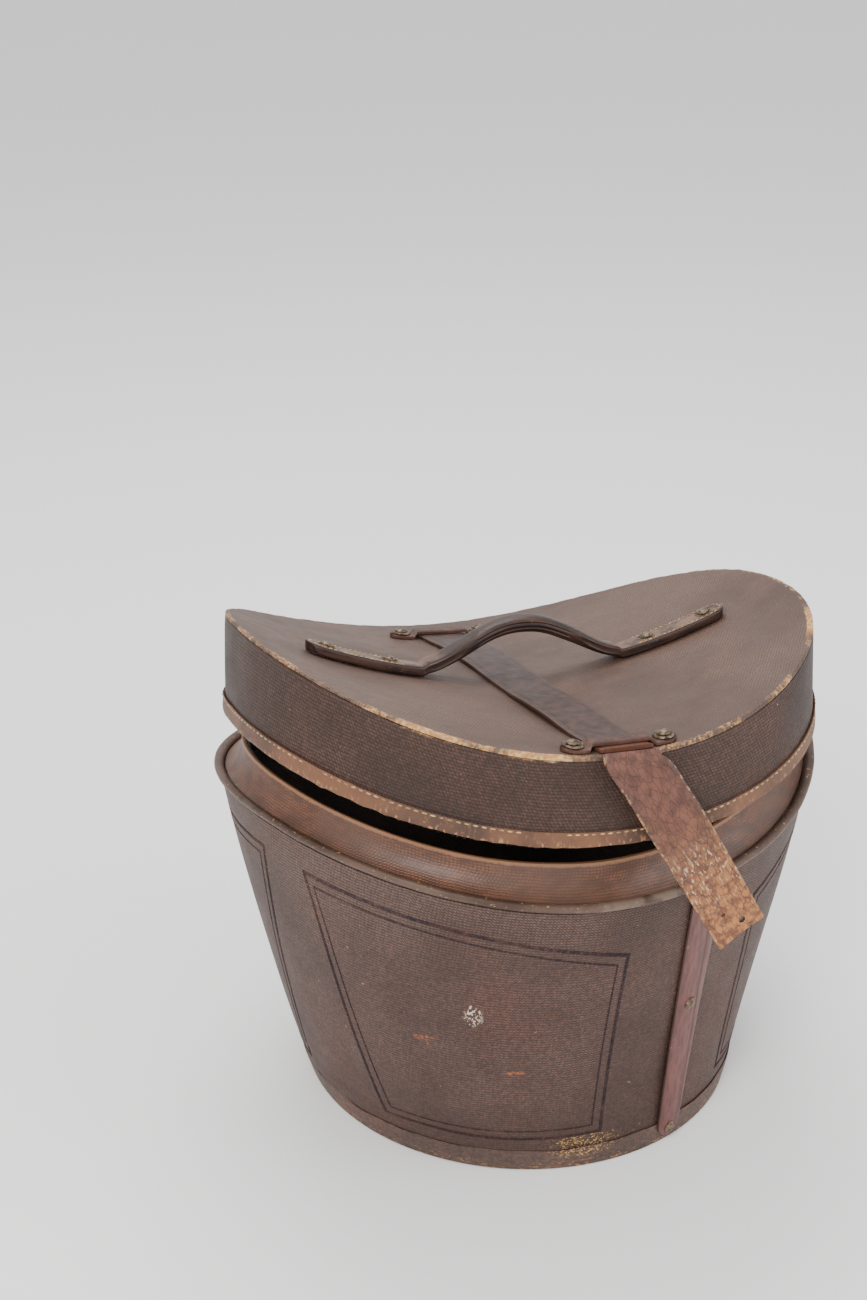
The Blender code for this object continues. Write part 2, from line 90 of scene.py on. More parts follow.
class Look:
    """A leather, cloth or metal drawn with nodes.  Patterns read the piece's own coordinates
    (row frame or lid frame) and "surf": along, across and edge distance, all in metres."""

    def __init__(self, name, roughness=0.6, metallic=0.0, coat=0.0, sheen=0.0, specular=0.5):
        self.mat = bpy.data.materials.new(name)
        self.mat.use_nodes = True
        self.tree = self.mat.node_tree
        self.shader = self.tree.nodes["Principled BSDF"]
        self.shader.inputs["Metallic"].default_value = metallic
        self.shader.inputs["Coat Weight"].default_value = coat
        self.shader.inputs["Coat Roughness"].default_value = 0.35
        self.shader.inputs["Sheen Weight"].default_value = sheen
        self.shader.inputs["Specular IOR Level"].default_value = specular
        self.roughness = roughness
        self.place = self.make("ShaderNodeTexCoord").outputs["Object"]
        surf = self.make("ShaderNodeAttribute")
        surf.attribute_name = "surf"
        self.surf = surf.outputs["Vector"]
        parts = self.make("ShaderNodeSeparateXYZ")
        self.join(self.surf, parts.inputs[0])
        self.u, self.v, self.w = parts.outputs
        parts = self.make("ShaderNodeSeparateXYZ")
        self.join(self.place, parts.inputs[0])
        self.x, self.y, self.z = parts.outputs

    def make(self, kind, **settings):
        node = self.tree.nodes.new(kind)
        for key, value in settings.items():
            setattr(node, key, value)
        return node

    def join(self, source, socket):
        if isinstance(source, (int, float)):
            socket.default_value = source
        elif isinstance(source, tuple):
            socket.default_value = (*source, 1.0) if len(source) == 3 else source
        else:
            self.tree.links.new(source, socket)

    def calc(self, operation, *values):
        node = self.make("ShaderNodeMath", operation=operation)
        for value, socket in zip(values, node.inputs):
            self.join(value, socket)
        return node.outputs[0]

    def add(self, *values):
        total = values[0]
        for value in values[1:]:
            total = self.calc("ADD", total, value)
        return total

    def times(self, *values):
        total = values[0]
        for value in values[1:]:
            total = self.calc("MULTIPLY", total, value)
        return total

    def top(self, *values):
        total = values[0]
        for value in values[1:]:
            total = self.calc("MAXIMUM", total, value)
        return total

    def scaled(self, where, stretch):
        node = self.make("ShaderNodeMapping")
        self.join(where, node.inputs["Vector"])
        node.inputs["Scale"].default_value = stretch
        return node.outputs[0]

    def speckle(self, scale, detail=3.0, stretch=(1, 1, 1), where=None, rough=0.55):
        node = self.make("ShaderNodeTexNoise")
        source = self.place if where is None else where
        self.join(self.scaled(source, stretch), node.inputs["Vector"])
        node.inputs["Scale"].default_value = scale
        node.inputs["Detail"].default_value = detail
        node.inputs["Roughness"].default_value = rough
        return node.outputs["Fac"]

    def cells(self, scale, stretch=(1, 1, 1), where=None, feature="DISTANCE_TO_EDGE"):
        node = self.make("ShaderNodeTexVoronoi", feature=feature)
        source = self.place if where is None else where
        self.join(self.scaled(source, stretch), node.inputs["Vector"])
        node.inputs["Scale"].default_value = scale
        return node.outputs["Distance"]

    def rise(self, value, low, high):
        """0 below low, 1 above high, smooth between; low above high turns it round."""
        node = self.make("ShaderNodeMapRange", interpolation_type="SMOOTHSTEP")
        flip = low > high
        for key, number in (("From Min", min(low, high)), ("From Max", max(low, high)),
                            ("To Min", 1.0 if flip else 0.0), ("To Max", 0.0 if flip else 1.0)):
            node.inputs[key].default_value = number
        self.join(value, node.inputs["Value"])
        return node.outputs[0]

    def patch(self, low, high, *speckle, **options):
        """Noise turned into soft-edged patches: 0 below low, 1 above high."""
        return self.rise(self.speckle(*speckle, **options), low, high)

    def uneven(self, value, amount, *speckle):
        """The value with so much noise added."""
        return self.add(value, self.times(amount, self.speckle(*speckle)))

    def lay(self, colour, paint, *amounts):
        """Paint laid over the colour where the amounts, multiplied, let it."""
        return self.mix(self.times(*amounts), colour, paint)

    def mix(self, amount, first, second):
        node = self.make("ShaderNodeMix", data_type="RGBA")
        self.join(amount, node.inputs[0])
        self.join(first, node.inputs[6])
        self.join(second, node.inputs[7])
        return node.outputs[2]

    def wave(self, value, pitch, warp=0.0):
        """0 to 1 ripples of that pitch along value."""
        return self.add(0.5, self.times(0.5, self.calc(
            "SINE", self.add(self.times(value, 2 * pi / pitch), warp))))

    def spot(self, centre, size, ragged=0.8):
        """1 inside a ragged patch round centre, whose size is given along each axis."""
        shift = self.make("ShaderNodeVectorMath", operation="SUBTRACT")
        self.join(self.place, shift.inputs[0])
        shift.inputs[1].default_value = centre
        scale = self.scaled(shift.outputs[0], tuple(1 / s for s in size))
        length = self.make("ShaderNodeVectorMath", operation="LENGTH")
        self.join(scale, length.inputs[0])
        edge = self.add(length.outputs["Value"], self.times(ragged, self.speckle(260, 4)))
        return self.rise(edge, 1.0 + ragged * 0.5, 0.6 + ragged * 0.35)

    def done(self, colour, roughness=None, height=None, depth=0.0004):
        self.join(colour, self.shader.inputs["Base Color"])
        rough = self.roughness if roughness is None else roughness
        self.join(rough, self.shader.inputs["Roughness"])
        if height is not None:
            bump = self.make("ShaderNodeBump")
            bump.inputs["Distance"].default_value = depth
            self.join(height, bump.inputs["Height"])
            self.join(bump.outputs["Normal"], self.shader.inputs["Normal"])
        return self.mat


def cross_grain(look):
    """Embossed leathercloth: short slanting dashes, never quite in line, from 0 to 1."""
    sway = look.times(9.0, look.speckle(52, 3))
    dashes = look.wave(look.add(look.u, look.times(0.55, look.v)), 0.0022, sway)
    rows = look.wave(look.v, 0.0018, look.times(7.0, look.speckle(70, 3)))
    blots = look.speckle(620, 3, stretch=(1, 1, 1.5))
    return look.add(look.times(0.50, dashes, rows), look.times(0.06, rows),
                    look.times(0.50, blots), look.times(0.12, look.speckle(1500, 2)))


def cloth_colour(look, dark, light, warm):
    """Uneven purple-brown: broad patches, a redder cast here and there, and fine mottling."""
    patch = look.patch(0.34, 0.68, 11, 4)
    colour = look.mix(patch, dark, light)
    cast = look.times(0.55, look.patch(0.48, 0.72, 17, 3, stretch=(1, 1, 0.6)))
    colour = look.mix(cast, colour, warm)
    mottle = look.patch(0.30, 0.74, 420, 4)
    shade = look.mix(mottle, (0.62, 0.62, 0.62), (1.34, 1.30, 1.26))
    tint = look.make("ShaderNodeMix", data_type="RGBA", blend_type="MULTIPLY")
    look.join(1.0, tint.inputs[0])
    look.join(colour, tint.inputs[6])
    look.join(shade, tint.inputs[7])
    return tint.outputs[2]


CLOTH_DARK, CLOTH_LIGHT, CLOTH_WARM = (0.060, 0.031, 0.024), (0.108, 0.060, 0.047), (0.120, 0.050, 0.034)
GOLD, CREAM, ORANGE = (0.36, 0.165, 0.050), (0.52, 0.33, 0.15), (0.33, 0.095, 0.030)
RUBBED_GOLD, RUBBED_SCALE = (0.44, 0.24, 0.070), 760
SIDES = (("left", -1), ("right", 1))


def body_front(x):
    """Point on the ridge of the mouth at x, at the front."""
    return wall_point(x, 1.0, 0.0, -1)


def wall_leather():
    look = Look("wall_leather", 0.60, specular=0.32)
    grain = cross_grain(look)
    colour = cloth_colour(look, CLOTH_DARK, CLOTH_LIGHT, CLOTH_WARM)
    colour = look.mix(look.rise(grain, 0.62, 0.20), colour, (0.034, 0.017, 0.013))
    # dust in the grain under the ridge, rubbed gold along the foot, and the scuffs
    dust = look.times(0.5, look.rise(look.z, 0.150, 0.205), look.rise(grain, 0.5, 0.9))
    colour = look.lay(colour, (0.165, 0.110, 0.082), dust)
    flecks = look.patch(0.60, 0.66, 330, 5, stretch=(1, 1, 1.6))
    foot = look.rise(look.uneven(look.z, 0.016, 30, 3), 0.020, 0.009)
    colour = look.lay(colour, GOLD, 0.85, foot, flecks)
    stray = look.patch(0.715, 0.745, 210, 5)
    colour = look.lay(colour, (0.40, 0.22, 0.10), 0.55, stray)
    rub = look.spot((-0.060, -0.131, 0.021), (0.034, 0.016, 0.0075), 1.4)
    colour = look.lay(colour, RUBBED_GOLD, rub, look.patch(0.52, 0.60, RUBBED_SCALE, 5))
    white = look.spot((-0.128, -0.109, 0.130), (0.009, 0.006, 0.010), 1.0)
    net = look.patch(0.52, 0.60, RUBBED_SCALE, 4, stretch=(1, 1, 0.5))
    colour = look.lay(colour, (0.60, 0.50, 0.41), white, net)
    for centre, size in (((-0.143, -0.0825, 0.108), (0.008, 0.010, 0.0025)),
                         ((-0.104, -0.1187, 0.0845), (0.010, 0.006, 0.0022)),
                         ((-0.172, -0.020, 0.180), (0.006, 0.014, 0.005))):
        mark = look.times(look.spot(centre, size, 1.0), look.patch(0.46, 0.58, 500, 4))
        colour = look.lay(colour, ORANGE, 0.75, mark)
    rough = look.uneven(0.50, 0.22, 60, 3)
    return look.done(colour, rough, look.uneven(grain, 0.6, 90, 3), 0.00035)


def rubbed_places(look, worn, reach, lift, deep):
    """The worn edge, with the places where it is rubbed further in."""
    for x, y, long in RUBBED_EDGE:
        near = look.spot(LID_PLACE @ on_lid(x, y, lift), (long, long, deep), 0.9)
        worn = look.top(worn, look.times(near, reach))
    return worn


def skirt_leather():
    look = Look("skirt_leather", 0.6, specular=0.30)
    grain = cross_grain(look)
    colour = cloth_colour(look, (0.038, 0.018, 0.013), (0.074, 0.038, 0.028), (0.084, 0.036, 0.022))
    colour = look.mix(look.rise(grain, 0.62, 0.20), colour, (0.020, 0.010, 0.007))
    edge = look.uneven(look.w, 0.0045, 150, 5)
    worn = look.times(look.rise(edge, 0.0040, 0.0030), look.patch(0.46, 0.58, 30, 3))
    worn = rubbed_places(look, worn, look.rise(edge, 0.0062, 0.0044), -0.001, 0.006)
    colour = look.mix(worn, colour, look.mix(look.patch(0.42, 0.60, 340, 4), GOLD, CREAM))
    flecks = look.patch(0.71, 0.74, 240, 5)
    colour = look.lay(colour, (0.36, 0.22, 0.13), 0.7, flecks)
    rough = look.uneven(0.50, 0.22, 60, 3)
    return look.done(colour, rough, grain, 0.00035)


def lid_leather():
    look = Look("lid_leather", 0.55, specular=0.38)
    patch = look.patch(0.34, 0.66, 9, 4)
    colour = look.mix(patch, (0.070, 0.037, 0.026), (0.138, 0.080, 0.057))
    warm = look.patch(0.50, 0.72, 15, 4, stretch=(1, 2.2, 1))
    colour = look.lay(colour, (0.160, 0.080, 0.050), 0.5, warm)
    slant = look.add(look.times(0.83, look.x), look.times(0.56, look.y))
    other = look.add(look.times(0.56, look.x), look.times(-0.83, look.y))
    dashes = look.times(look.wave(slant, 0.0021, look.times(8.0, look.speckle(60, 3))),
                        look.wave(other, 0.0017, look.times(8.0, look.speckle(80, 3))))
    grain = look.add(look.times(0.55, look.speckle(900, 3, stretch=(1, 1.5, 1))), look.times(0.45, dashes))
    colour = look.mix(look.rise(grain, 0.46, 0.22), colour, (0.052, 0.028, 0.020))
    dust = look.patch(0.60, 0.72, 700, 5)
    colour = look.lay(colour, (0.27, 0.19, 0.14), 0.25, dust)
    edge = look.uneven(look.uneven(look.w, 0.0030, 170, 4), 0.0040, 620, 4)
    tone = look.mix(look.patch(0.44, 0.62, 420, 4), GOLD, CREAM)
    worn = look.times(look.rise(edge, 0.0040, 0.0028), look.patch(0.40, 0.54, 34, 4))
    worn = rubbed_places(look, worn, look.rise(edge, 0.0072, 0.0050), 0, 0.012)
    colour = look.mix(worn, colour, tone)
    rough = look.uneven(0.42, 0.30, 70, 4)
    height = look.add(look.times(0.6, grain), look.times(1.4, look.speckle(130, 4)), look.times(0.5, worn))
    return look.done(colour, rough, height, 0.00030)


def collar_leather():
    look = Look("collar_leather", 0.42, coat=0.12)
    grain = cross_grain(look)
    mottle = look.speckle(70, 4, stretch=(1, 1, 3))
    colour = look.mix(look.rise(mottle, 0.34, 0.66), (0.092, 0.031, 0.014), (0.190, 0.067, 0.028))
    colour = look.mix(look.rise(grain, 0.60, 0.25), colour, (0.062, 0.024, 0.013))
    patch = look.patch(0.40, 0.66, 13, 3)
    colour = look.lay(colour, (0.112, 0.058, 0.038), 0.55, patch)
    rim = look.rise(look.uneven(look.w, 0.003, 210, 5), 0.0042, 0.0026)
    colour = look.lay(colour, (0.32, 0.15, 0.07), 0.75, rim)
    flecks = look.patch(0.70, 0.74, 380, 5)
    colour = look.lay(colour, (0.48, 0.30, 0.16), 0.7, flecks)
    rough = look.uneven(0.36, 0.22, 80, 3)
    return look.done(colour, rough, look.add(look.times(0.8, grain), look.times(0.5, mottle)), 0.00025)


def piping_leather():
    look = Look("piping_leather", 0.55, specular=0.3)
    patch = look.patch(0.36, 0.62, 24, 4)
    colour = look.mix(patch, (0.052, 0.028, 0.019), (0.098, 0.058, 0.041))
    # Pale patch on the bead near the front: rubbed wear, with a painted highlight laid into the same colour.
    rub = look.spot(body_front(-0.045), (0.060, 0.030, 0.020), 1.2)
    colour = look.lay(colour, (0.215, 0.155, 0.118), 0.5, rub, look.patch(0.40, 0.60, 90, 4))
    flecks = look.patch(0.63, 0.69, 420, 5, stretch=(1, 1, 2))
    colour = look.lay(colour, (0.52, 0.27, 0.11), 0.8, flecks)
    return look.done(colour, 0.5, look.speckle(520, 4), 0.0003)


def binding_leather():
    look = Look("binding_leather", 0.6)
    patch = look.patch(0.34, 0.62, 22, 4)
    colour = look.mix(patch, (0.055, 0.023, 0.012), (0.145, 0.058, 0.025))
    frayed = look.patch(0.54, 0.68, 520, 5, stretch=(1, 1, 0.5))
    raw = look.rise(look.v, 0.0045, 0.0012)
    colour = look.lay(colour, (0.22, 0.100, 0.042), 0.45, frayed)
    colour = look.lay(colour, (0.34, 0.165, 0.062), raw, frayed)
    return look.done(colour, 0.62, look.speckle(700, 4, stretch=(1, 1, 0.5)), 0.0005)


def foot_leather():
    look = Look("foot_leather", 0.6)
    colour = cloth_colour(look, (0.056, 0.029, 0.021), (0.108, 0.060, 0.044), (0.120, 0.050, 0.030))
    flecks = look.patch(0.57, 0.63, 300, 5, stretch=(1, 1, 2))
    worn = look.rise(look.uneven(look.z, 0.010, 26, 3), 0.016, 0.004)
    colour = look.lay(colour, GOLD, worn, flecks)
    rub = look.spot((-0.060, -0.131, 0.014), (0.032, 0.018, 0.007), 1.4)
    colour = look.lay(colour, RUBBED_GOLD, rub, look.patch(0.51, 0.59, RUBBED_SCALE, 5))
    grain = cross_grain(look)
    return look.done(colour, 0.6, look.uneven(grain, 0.8, 160, 4), 0.00035)


def strip_leather():
    look = Look("strip_leather", 0.45, coat=0.04, specular=0.4)
    streak = look.speckle(120, 4, stretch=(3, 3, 0.5))
    colour = look.mix(look.rise(streak, 0.34, 0.66), (0.080, 0.024, 0.020), (0.140, 0.045, 0.038))
    edge = look.rise(look.w, 0.0022, 0.0006)
    colour = look.lay(colour, (0.060, 0.032, 0.027), 0.7, edge)
    crease = look.rise(look.calc("ABSOLUTE", look.add(look.u, -0.0155)), 0.0012, 0.0003)
    colour = look.lay(colour, (0.055, 0.028, 0.024), 0.55, crease)
    flecks = look.patch(0.69, 0.73, 300, 5)
    colour = look.lay(colour, (0.42, 0.24, 0.14), 0.6, flecks)
    return look.done(colour, 0.44, look.add(streak, look.times(-1.0, crease)), 0.0003)


def strap_leather(name, dark, light, worn):
    """Strap leather; worn adds the cracked, golden free end, where v is the way down."""
    look = Look(name, 0.42, coat=0.08 if worn else 0.03, specular=0.5 if worn else 0.32)
    mottle = look.speckle(150, 5, stretch=(1, 1, 0.7))
    colour = look.mix(look.rise(mottle, 0.34, 0.66), dark, light)
    edge = look.rise(look.w, 0.0030, 0.0008)
    colour = look.lay(colour, (0.060, 0.028, 0.018), 0.5, edge)
    crease = look.rise(look.calc("ABSOLUTE", look.add(look.w, -0.0032)), 0.0007, 0.0002)
    crack = look.rise(look.cells(230, stretch=(1.0, 0.55, 1.0), where=look.surf), 0.045, 0.008)
    height = look.add(look.times(0.7, look.speckle(420, 4)), look.times(-0.8, crease))
    if worn:
        down = look.rise(look.uneven(look.v, 0.05, 32, 4), 0.060, 0.165)
        golden = look.mix(look.patch(0.38, 0.62, 200, 5), (0.150, 0.044, 0.012), (0.42, 0.160, 0.038))
        colour = look.lay(colour, golden, 0.85, down)
        colour = look.lay(colour, (0.075, 0.028, 0.014), 0.55, crack, look.rise(look.v, 0.035, 0.10))
        rags = look.speckle(380, 5, where=look.surf, stretch=(1.6, 0.6, 1))
        patch = look.rise(look.calc("ABSOLUTE", look.add(look.v, -0.098)), 0.030, 0.004)
        pale = look.times(patch, look.rise(rags, 0.55, 0.62))
        colour = look.lay(colour, (0.56, 0.38, 0.22), 0.9, pale)
        sides = look.times(look.rise(look.w, 0.0016, 0.0004), look.patch(0.50, 0.60, 220, 5))
        colour = look.lay(colour, (0.42, 0.22, 0.085), 0.8, sides)
        height = look.add(height, look.times(-1.1, crack), look.times(0.6, pale))
    else:
        front = look.rise(look.v, 0.250, 0.274)
        colour = look.lay(colour, (0.110, 0.040, 0.024), 0.8, front)
    rough = look.uneven(0.34, 0.26, 120, 4)
    return look.done(colour, rough, height, 0.0004)


def handle_leather():
    look = Look("handle_leather", 0.40, coat=0.08, specular=0.35)
    streak = look.speckle(150, 4, stretch=(2, 0.25, 2), where=look.surf)
    colour = look.mix(look.rise(streak, 0.36, 0.66), (0.012, 0.005, 0.004), (0.046, 0.019, 0.012))
    flat = look.times(look.rise(look.w, 0.5, 0.9), look.patch(0.36, 0.60, 90, 4))
    colour = look.lay(colour, (0.175, 0.092, 0.058), 0.85, flat)
    rubbed = look.patch(0.62, 0.70, 380, 5)
    colour = look.lay(colour, (0.170, 0.085, 0.052), 0.25, rubbed)
    rough = look.uneven(0.32, 0.26, 110, 4)
    return look.done(colour, rough, look.uneven(streak, 0.6, 480, 3), 0.0003)


def lining_cloth():
    look = Look("lining_cloth", 0.9, sheen=0.2, specular=0.25)
    weave = look.add(look.times(0.5, look.wave(look.u, 0.0011)), look.times(0.5, look.wave(look.v, 0.0011)))
    patch = look.patch(0.34, 0.66, 14, 4)
    colour = look.mix(patch, (0.020, 0.013, 0.011), (0.045, 0.030, 0.025))
    colour = look.lay(colour, (0.075, 0.052, 0.042), 0.5, look.rise(weave, 0.55, 0.9))
    return look.done(colour, 0.9, weave, 0.0003)


def aged_brass():
    look = Look("aged_brass", 0.42, metallic=0.75)
    tarnish = look.patch(0.36, 0.64, 420, 5)
    colour = look.mix(tarnish, (0.060, 0.040, 0.029), (0.215, 0.155, 0.104))
    rough = look.uneven(0.30, 0.35, 600, 4)
    return look.done(colour, rough, look.speckle(900, 4), 0.0002)


def thread(name, dark, light):
    look = Look(name, 0.75)
    twist = look.wave(look.add(look.u, look.v), 0.0009)
    colour = look.mix(look.patch(0.36, 0.66, 260, 4), dark, light)
    return look.done(colour, 0.75, twist, 0.0002)


def line_paint():
    """Navy paint rubbed thin, so that the leathercloth comes through it."""
    look = Look("line_paint", 0.85, specular=0.08)
    grain = cross_grain(look)
    colour = cloth_colour(look, CLOTH_DARK, CLOTH_LIGHT, CLOTH_WARM)
    cover = look.add(look.times(0.50, look.patch(0.34, 0.62, 20, 4)),
                     look.times(0.36, look.patch(0.36, 0.60, 700, 3)))
    colour = look.mix(cover, colour, (0.010, 0.013, 0.022))
    return look.done(colour, 0.85, grain, 0.00035)


# ---------------------------------------------------------------- mesh making

def power(value, exponent):
    return abs(value) ** exponent * (1 if value >= 0 else -1)


def oval(a, b, n, cols=COLS):
    """Oval from the back round by the left, front and right."""
    turns = [pi / 2 + 2 * pi * i / cols for i in range(cols)]
    return [(a * power(cos(t), 2 / n), b * power(sin(t), 2 / n)) for t in turns]


def ramp(value, low, high):
    t = min(max((value - low) / (high - low), 0.0), 1.0)
    return t * t * (3 - 2 * t)


def ripple(point, scale, seed=0.0):
    return noise.noise(Vector(point) * scale + Vector((seed, seed * 0.7, -seed)))


def loft(name, rows, look, body, nodes=(), round_rows=True,
         close_rows=True, caps=False, edge=None, angle=0.7):
    """Grid of points to a piece.  round_rows: each row is a loop.  close_rows: the last row
    joins the first.  edge(r, c) gives the third coordinate of "surf"."""
    count, cols = len(rows), len(rows[0])
    points = [tuple(p) for row in rows for p in row]
    along = [[0.0] for _ in rows]
    for r, row in enumerate(rows):
        for c in range(1, cols + 1):
            step = (Vector(row[c % cols]) - Vector(row[c - 1])).length
            along[r].append(along[r][-1] + step)
    across = [0.0]
    for r in range(1, count + 1):
        step = (Vector(rows[r % count][0]) - Vector(rows[r - 1][0])).length
        across.append(across[-1] + step)
    faces, corners = [], []
    for r in range(count if close_rows else count - 1):
        for c in range(cols if round_rows else cols - 1):
            s, d = (r + 1) % count, (c + 1) % cols
            faces.append((r * cols + c, r * cols + d, s * cols + d, s * cols + c))
            corners += [(r, c, r, c), (r, c + 1, r, d), (r + 1, c + 1, s, d), (r + 1, c, s, c)]
    if caps:
        faces.append(tuple(range(cols))[::-1])
        corners += [(0, c, 0, c) for c in range(cols)][::-1]
        last = (count - 1) * cols
        faces.append(tuple(last + c for c in range(cols)))
        corners += [(count - 1, c, count - 1, c) for c in range(cols)]
    mesh = bpy.data.meshes.new(name)
    mesh.from_pydata(points, [], faces)
    surf = mesh.attributes.new("surf", "FLOAT_VECTOR", "CORNER")
    for k, (row, col, r, c) in enumerate(corners):
        far = edge(r, c) if edge else 0.01
        surf.data[k].vector = (along[r][min(col, cols)], across[row], far)
    return finish_piece(name, mesh, look, body, nodes, angle)


def finish_piece(name, mesh, look, body, nodes, angle=0.7):
    """The lid's pieces are drawn with the lid straight, and are put in their place here."""
    if body == "lid":
        mesh.transform(LID_PLACE)
    shape = bmesh.new()
    shape.from_mesh(mesh)
    bmesh.ops.recalc_face_normals(shape, faces=shape.faces)
    shape.to_mesh(mesh)
    shape.free()
    mesh.shade_smooth()
    mesh.set_sharp_from_angle(angle=angle)
    mesh.materials.append(look)
    obj = bpy.data.objects.new(name, mesh)
    bpy.context.collection.objects.link(obj)
    if nodes:
        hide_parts(*nodes)
    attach(obj, body)
    return obj


def cluster(name, parts, look, body):
    """Many small closed pieces, given as (rows of loops), in one object."""
    points, faces, surf = [], [], []
    for rows in parts:
        start, cols = len(points), len(rows[0])
        points += [tuple(p) for row in rows for p in row]
        for r in range(len(rows) - 1):
            for c in range(cols):
                d = (c + 1) % cols
                faces.append((start + r * cols + c, start + r * cols + d,
                              start + (r + 1) * cols + d, start + (r + 1) * cols + c))
                surf += [(c, r), (c + 1, r), (c + 1, r + 1), (c, r + 1)]
        faces.append(tuple(start + c for c in range(cols))[::-1])
        last = start + (len(rows) - 1) * cols
        faces.append(tuple(last + c for c in range(cols)))
        surf += [(0, 0)] * (2 * cols)
    mesh = bpy.data.meshes.new(name)
    mesh.from_pydata(points, [], faces)
    layer = mesh.attributes.new("surf", "FLOAT_VECTOR", "CORNER")
    for k, (c, r) in enumerate(surf):
        layer.data[k].vector = (c * STITCH_R, r * STITCH_LONG / 4, 0.01)
    return finish_piece(name, mesh, look, body, ())


def capsule(middle, along, up, long, radius, sag=0.25):
    """One stitch: a short thread that dips into the leather at both ends."""
    side = along.cross(up).normalized()
    rows = []
    for k in range(5):
        s = k / 4 * 2 - 1
        fat = radius * (0.45 if abs(s) > 0.9 else 1.0)
        centre = middle + along * (s * long / 2) - up * (radius * sag * 4 * s * s)
        rows.append([centre + side * fat * cos(a) + up * fat * sin(a)
                     for a in (2 * pi * i / 6 for i in range(6))])
    return rows


def lathe(name, profile, place, axis, look, body, node, sides=28, dent=0.0):
    """Turned brass piece: (radius, height) pairs round the axis, a little out of true."""
    axis = Vector(axis).normalized()
    turn = Matrix.Translation(place) @ axis.to_track_quat("Z", "Y").to_matrix().to_4x4()
    rows = []
    for radius, height in profile:
        row = []
        for i in range(sides):
            a = 2 * pi * i / sides
            p = turn @ Vector((radius * cos(a), radius * sin(a), height))
            row.append(p + axis * dent * ripple(p, 260))
        rows.append(row)
    return loft(name, rows, look, body, (node,), close_rows=False, caps=True)


# ---------------------------------------------------------------- the bucket

def body_axes(q, grow):
    belly = 4 * q * (1 - q)
    a = BASE_A + (MOUTH_A - BASE_A) * q + BULGE_A * belly + grow
    b = BASE_B + (MOUTH_B - BASE_B) * q + BULGE_B * belly + grow
    return a, b, BASE_POWER + (MOUTH_POWER - BASE_POWER) * q


def body_ring(q, grow, lift=0.0):
    rise = MOUTH_SADDLE / MOUTH_A ** 2
    return [(x, y, (MOUTH_Z + rise * x * x) * q + lift) for x, y in oval(*body_axes(q, grow))]


def dented(ring, amount, scale=9.0, seed=0.0, fade=1.0):
    """Old board is never quite true: push a ring in and out a little."""
    moved = []
    for x, y, z in ring:
        push = amount * fade * ripple((x, y, z), scale, seed)
        out = Vector((x, y, 0)).normalized() * push
        moved.append((x + out.x, y + out.y, z))
    return moved


def wall_crease(turn_share, q):
    """Soft fold in the leathercloth above the foot, on the left of the front."""
    line = 0.105 + 0.055 * ramp(turn_share, 0.40, 0.22) - 0.050 * ramp(turn_share, 0.40, 0.46)
    reach = ramp(turn_share, 0.16, 0.22) * (1 - ramp(turn_share, 0.44, 0.50))
    near = max(0.0, 1 - abs(q - line) / 0.020)
    return -0.0007 * reach * near * near * (3 - 2 * near)


WALL_TOP_Q, WALL_DENT = 1 - (PIPING_R + 2 * GAP) / MOUTH_Z, 0.0016


def dent_fade(q):
    """Dents die away at the foot and at the top edge of the wall."""
    return max(min(q / 0.1, (WALL_TOP_Q - q) / 0.1, 1.0), 0.0)


def body_wall(look):
    top = WALL_TOP_Q
    shares = [0.002] + [0.012 + (top - 0.014) * k / 56 for k in range(57)] + [top]
    rows = []
    for k, q in enumerate(shares):
        grow = -0.0006 if k in (0, len(shares) - 1) else 0.0
        ring = dented(body_ring(q, grow), WALL_DENT, fade=dent_fade(q))
        row = []
        for c, (x, y, z) in enumerate(ring):
            out = Vector((x, y, 0)).normalized() * wall_crease(c / COLS, q)
            row.append((x + out.x, y + out.y, z))
        rows.append(row)
    rows += [body_ring(q, -WALL) for q in (top, 0.5, 0.002)]
    loft("wall_shell", rows, look, "box", ("body_wall",))


def base(look, lining):
    """Flat board under the box, and the cloth that lies on it."""
    def disc(name, q, foot, head, inset, node, finish):
        rims = [(0.02, foot), (0.35, foot), (0.70, foot), (0.985, foot), (1.0, foot + 0.0004),
                (1.0, head - 0.0004), (0.985, head), (0.70, head), (0.35, head), (0.02, head)]
        rows = [[(x * s, y * s, z) for x, y, _ in body_ring(q, -inset)] for s, z in rims]
        loft(name, rows, finish, "box", (node,), close_rows=False, caps=True)
    disc("base_shell", 0.0, 0.0, BASE_BOARD, WALL + GAP, "base_board", look)
    disc("base_cloth", BASE_BOARD / MOUTH_Z, BASE_BOARD + GAP, BASE_BOARD + GAP + SKIN,
         WALL + 4 * GAP, "base_lining", lining)


def bottom_binding(look):
    """Strip of leather round the foot, its top edge a little wavy and lifted."""
    top = BINDING_H / MOUTH_Z
    rows = []
    for share, grow in ((0.004, 0.0003), (0.010, BINDING_T), (0.35, BINDING_T + 0.0001),
                        (0.70, BINDING_T), (0.92, BINDING_T), (1.0, 0.0003)):
        ring = body_ring(max(top * share, 0.004), GAP + grow)
        wave = 0.0012 if share > 0.6 else 0.0
        rows.append([(x, y, z + wave * ripple((x, y, 0), 60)) for x, y, z in ring])
    rows += [body_ring(top * 0.9, GAP * 0.5), body_ring(0.005, GAP * 0.5)]
    loft("foot_binding", rows, look, "box", ("bottom_binding",))


def ridge_piping(look):
    """Rounded worn bead along the ridge of the mouth."""
    rows = []
    for k in range(14):
        a = 2 * pi * k / 14
        ring = body_ring(1.0, PIPING_R * cos(a), PIPING_R * sin(a))
        rows.append(dented(ring, 0.0005, 70, 3.0))
    loft("ridge_bead", rows, look, "box", ("ridge_piping",))


COLLAR_LEAN, COLLAR_FOOT = 0.0146, 0.0005


